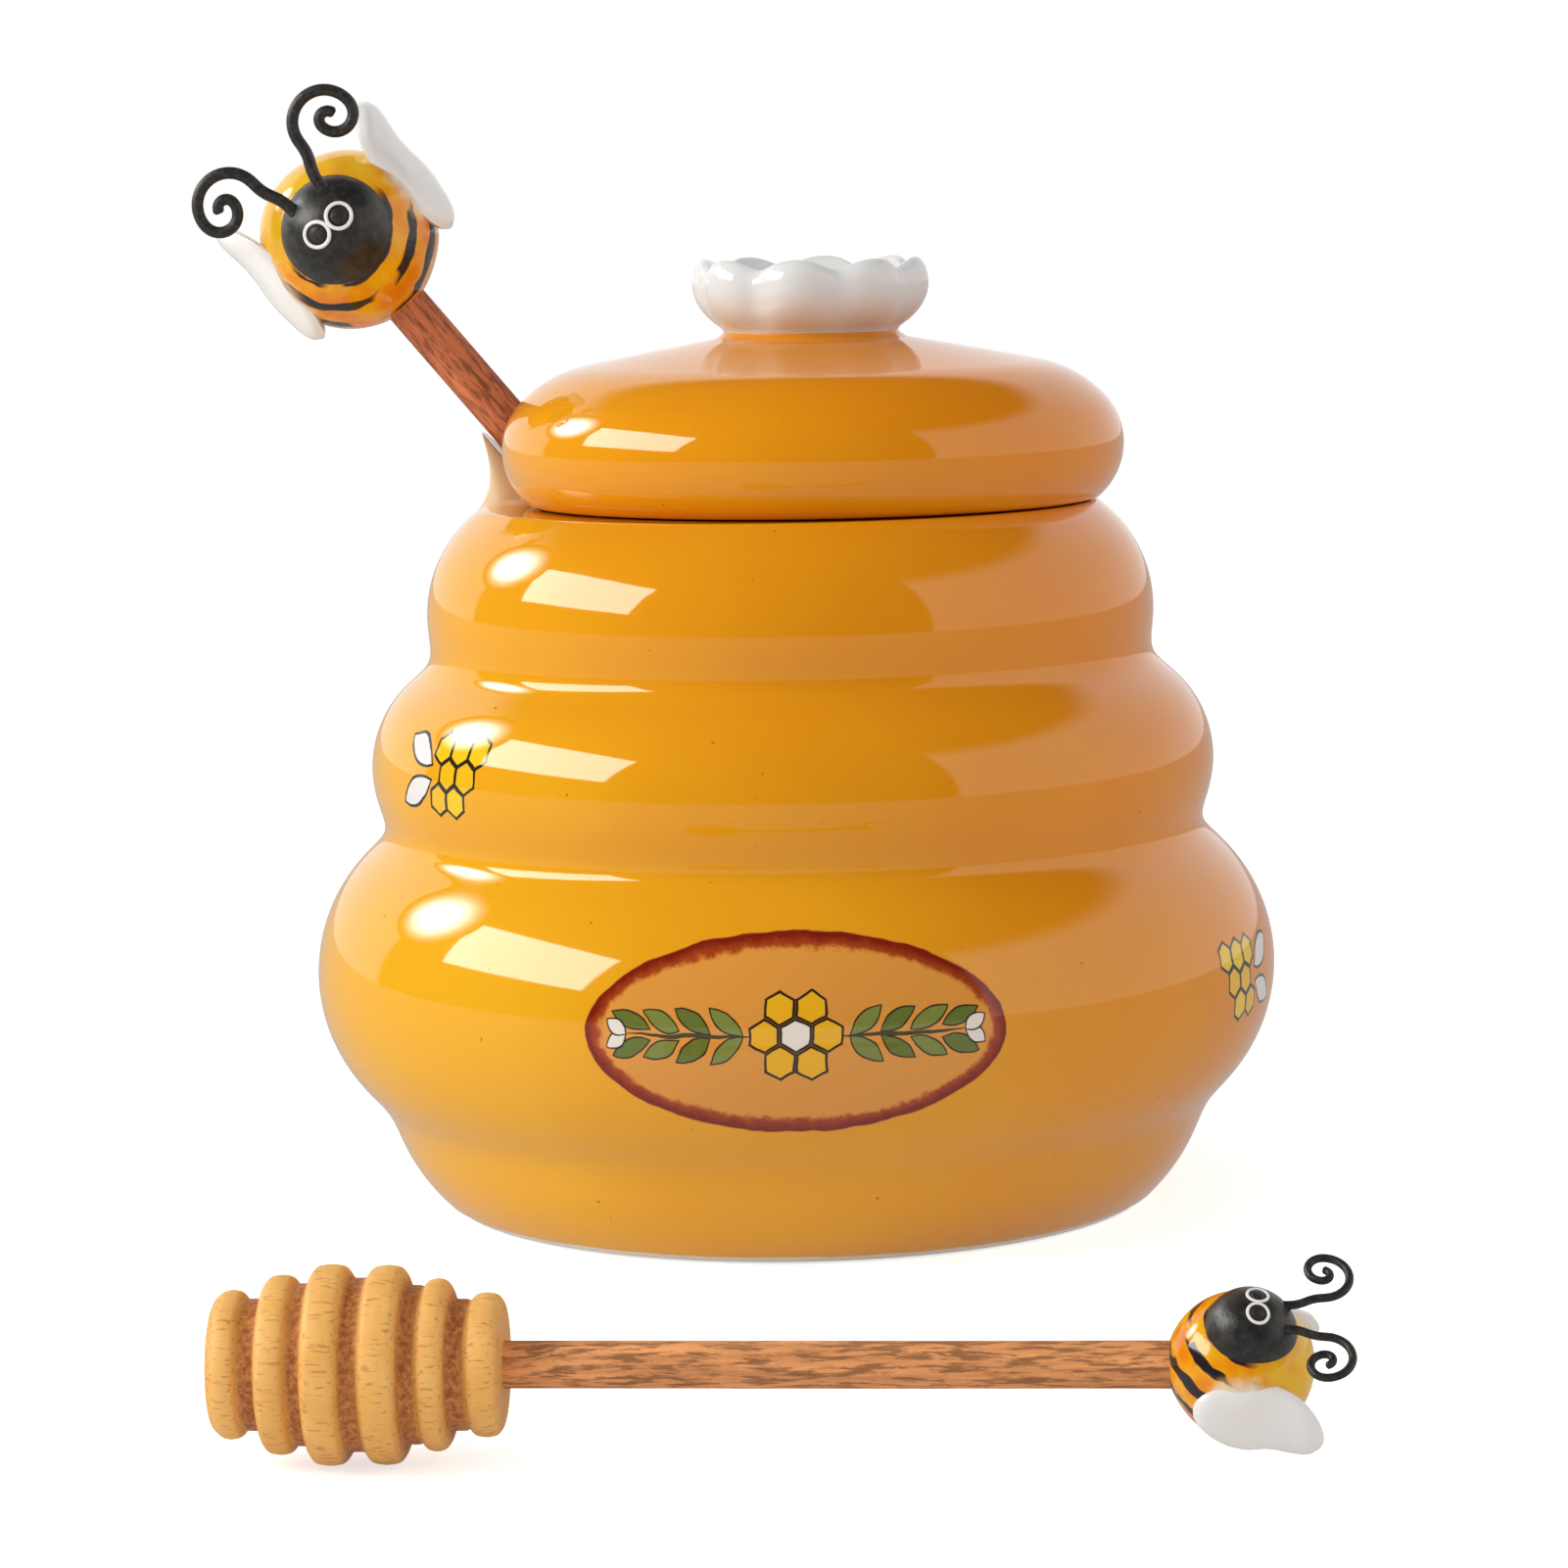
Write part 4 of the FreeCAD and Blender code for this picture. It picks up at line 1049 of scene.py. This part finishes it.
def make_antenna(prefix, facts, place, side, sign, scale, centre):
    root, rise, depth = 2.6, 6.3, 2.4
    curl_start, curl_rise = 4.2, 12.2
    out = (curl_start - root) / 2
    up = (curl_rise - rise) / 2
    middle = (root + out, rise + up)
    bow = (out * out + up * up) / (2 * out)
    slant = math.atan(out / up)
    near = (bow * (1 - math.cos(slant)), bow * math.sin(slant))
    line = [np.array([(root, rise - depth), (root, rise)])]
    line.append(arc((root, rise), (root + near[0], rise + near[1]), middle))
    line.append(arc(middle, (curl_start - near[0], curl_rise - near[1]), (curl_start, curl_rise)))
    here = curl_start
    for radius, way in ((4.4, 1), (2.55, -1), (1.25, 1)):
        top = (here + way * radius, curl_rise + way * radius)
        there = here + way * 2 * radius
        line.append(arc((here, curl_rise), top, (there, curl_rise)))
        here = there
    line = soften(np.concatenate(line), 0.5, 0.3)
    count = len(line)
    path = np.stack([sign * line[:, 0], np.full(count, -4.2), line[:, 1]], 1) + centre
    share = np.linspace(0, 1, count)
    radii = facts["wire"] * (1 - 0.10 * share) * np.sqrt(np.clip((1.004 - share) / 0.012, 0.05, 1))
    rows = tube_rows(path, radii, np.tile((0.0, 1.0, 0.0), (count, 1)))
    rows = [[path[0]]] + rows + [[path[-1]]]
    rows = [kept_in_box(np.asarray(row) * scale, place) for row in rows]
    wire = skin(f"{prefix}feeler_{side}", rows, place)
    weld(wire)
    finish_piece(wire, MATERIALS["wire"], facts["body"], f"{prefix}antenna_{side}")


def dipper_places():
    lean = math.radians(LEAN)
    rest = FLOOR_THICK + HEAD_GAP + HEAD_END * math.sin(lean)
    tip = Vector((CROSSING[0] + (CROSSING[2] - rest) * math.tan(lean), BACK, rest))
    standing = Matrix.Translation(tip * MM) @ Matrix.Rotation(-lean, 4, "Y")
    lying = Matrix.Translation(Vector(LYING_AT) * MM) @ Matrix.Rotation(math.radians(LYING_TURN), 4, "Z")
    lying = lying @ Matrix.Rotation(math.radians(LYING_ROLL), 4, "X")
    return {"": standing, "spare_": lying @ Matrix.Rotation(math.radians(90), 4, "Y")}


def direction(azimuth, elevation):
    """The way from the pot to a lamp; azimuth runs from the viewer towards +X."""
    a, e = math.radians(azimuth), math.radians(elevation)
    return Vector((math.sin(a) * math.cos(e), -math.cos(a) * math.cos(e), math.sin(e)))


def light(name, azimuth, elevation, distance, size, radiance, tint, glossy):
    """A rectangular soft light aimed at the pot."""
    lamp = bpy.data.lights.new(name, "AREA")
    lamp.shape = "RECTANGLE"
    lamp.size, lamp.size_y = size
    lamp.energy = radiance * math.pi * size[0] * size[1]
    lamp.color = tint
    made = bpy.data.objects.new(name, lamp)
    way = direction(azimuth, elevation)
    made.location = AIM + way * distance
    made.rotation_euler = way.to_track_quat("Z", "Y").to_euler()
    made.visible_camera = False
    made.visible_glossy = glossy
    bpy.context.scene.collection.objects.link(made)


def make_stage():
    far = 8.0
    corners = [(-far, -far, 0), (far, -far, 0), (far, far, 0), (-far, far, 0)]
    floor = solid("floor", corners, [(0, 1, 2, 3)])
    floor.location.z = -0.0002

    # Pale floor: part of its white shows only to the eye, and it is dimmer in reflections.
    white = bpy.data.materials.new("pale_floor")
    nodes = Nodes(white)
    path = nodes.node("LightPath")
    shine = nodes.node("Emission", {"Strength": nodes.times(path["Is Camera Ray"], FLOOR_SHINE)})
    dull = nodes.node("BsdfDiffuse", {"Color": (FLOOR_WHITE,) * 3})
    lit = nodes.node("AddShader", {0: shine[0], 1: dull[0]})
    mirrored = nodes.node("Emission", {"Strength": FLOOR_MIRRORED})
    both = nodes.node("MixShader", {0: path["Is Glossy Ray"], 1: lit[0], 2: mirrored[0]})
    nodes.node("OutputMaterial", {0: both[0]})
    floor.data.materials.append(white)


def make_glow():
    """A round lamp with a soft edge, seen only in reflections."""
    way = direction(*GLOW_AT)
    rows = [[(0, 0, 0)], [(math.cos(t), math.sin(t), 0) for t in circle(64)]]
    place = Matrix.Translation(AIM + way) @ way.to_track_quat("Z", "Y").to_matrix().to_4x4()
    disc = skin("round_lamp", [np.asarray(row, float) * GLOW_RADIUS for row in rows], place)
    glow = bpy.data.materials.new("lamp_glow")
    nodes = Nodes(glow)
    far = nodes.vector("LENGTH", nodes.node("Attribute", attribute_name="spot")["Vector"])
    span = {"Value": far, "From Min": GLOW_RADIUS * MM, "From Max": 0.02, "To Max": 16.0}
    fade = nodes.node("MapRange", span, interpolation_type="SMOOTHERSTEP")["Result"]
    shine = nodes.node("Emission", {"Strength": fade})
    nodes.node("OutputMaterial", {0: shine[0]})
    disc.data.materials.append(glow)
    disc.visible_camera = False
    disc.visible_diffuse = False
    disc.visible_shadow = False


def make_world():
    """White all round to the eye; in reflections white to the right and behind, dim to the front left."""
    world = bpy.data.worlds.new("studio")
    bpy.context.scene.world = world
    nodes = Nodes(world)
    way = nodes.node("TexCoord")["Generated"]
    height = nodes.split(way)["Z"]
    card = nodes.vector("DOT_PRODUCT", way, WHITE_SIDE)
    white = nodes.times(nodes.ramp(card, -0.17, -0.13), nodes.ramp(height, 0.72, 0.58))
    dim = nodes.node("MapRange", {"Value": white, "To Min": 0.06, "To Max": 1.0})[0]
    path = nodes.node("LightPath")
    soft = nodes.node("Mix", {0: path["Is Diffuse Ray"], 2: dim, 3: 0.42})[0]
    level = nodes.node("Mix", {0: path["Is Camera Ray"], 2: soft, 3: 1.0})[0]
    shine = nodes.node("Background", {"Color": (1, 1, 1), "Strength": level})[0]
    nodes.node("OutputWorld", {0: shine})


def make_camera():
    lens = bpy.data.cameras.new("view")
    lens.sensor_width = SENSOR
    lens.lens = FOCAL_PIXELS / FRAME_PIXELS * SENSOR
    lens.clip_start = 0.05
    camera = bpy.data.objects.new("view", lens)
    tilt = Matrix.Rotation(math.radians(90 - PITCH), 4, "X") @ Matrix.Rotation(math.radians(ROLL), 4, "Z")
    camera.matrix_world = Matrix.Translation(Vector(EYE) * MM) @ tilt
    bpy.context.scene.collection.objects.link(camera)
    bpy.context.scene.camera = camera


make_camera()
make_pot()
make_lid()
make_knob()
for prefix, place in dipper_places().items():
    make_head(prefix, DIPPERS[prefix], place)
    make_stick(prefix, DIPPERS[prefix], place)
    make_bee(prefix, DIPPERS[prefix], place)
make_stage()
make_glow()
make_world()
for facts in LIGHTS:
    light(*facts)
bpy.context.scene.view_settings.view_transform = "Standard"
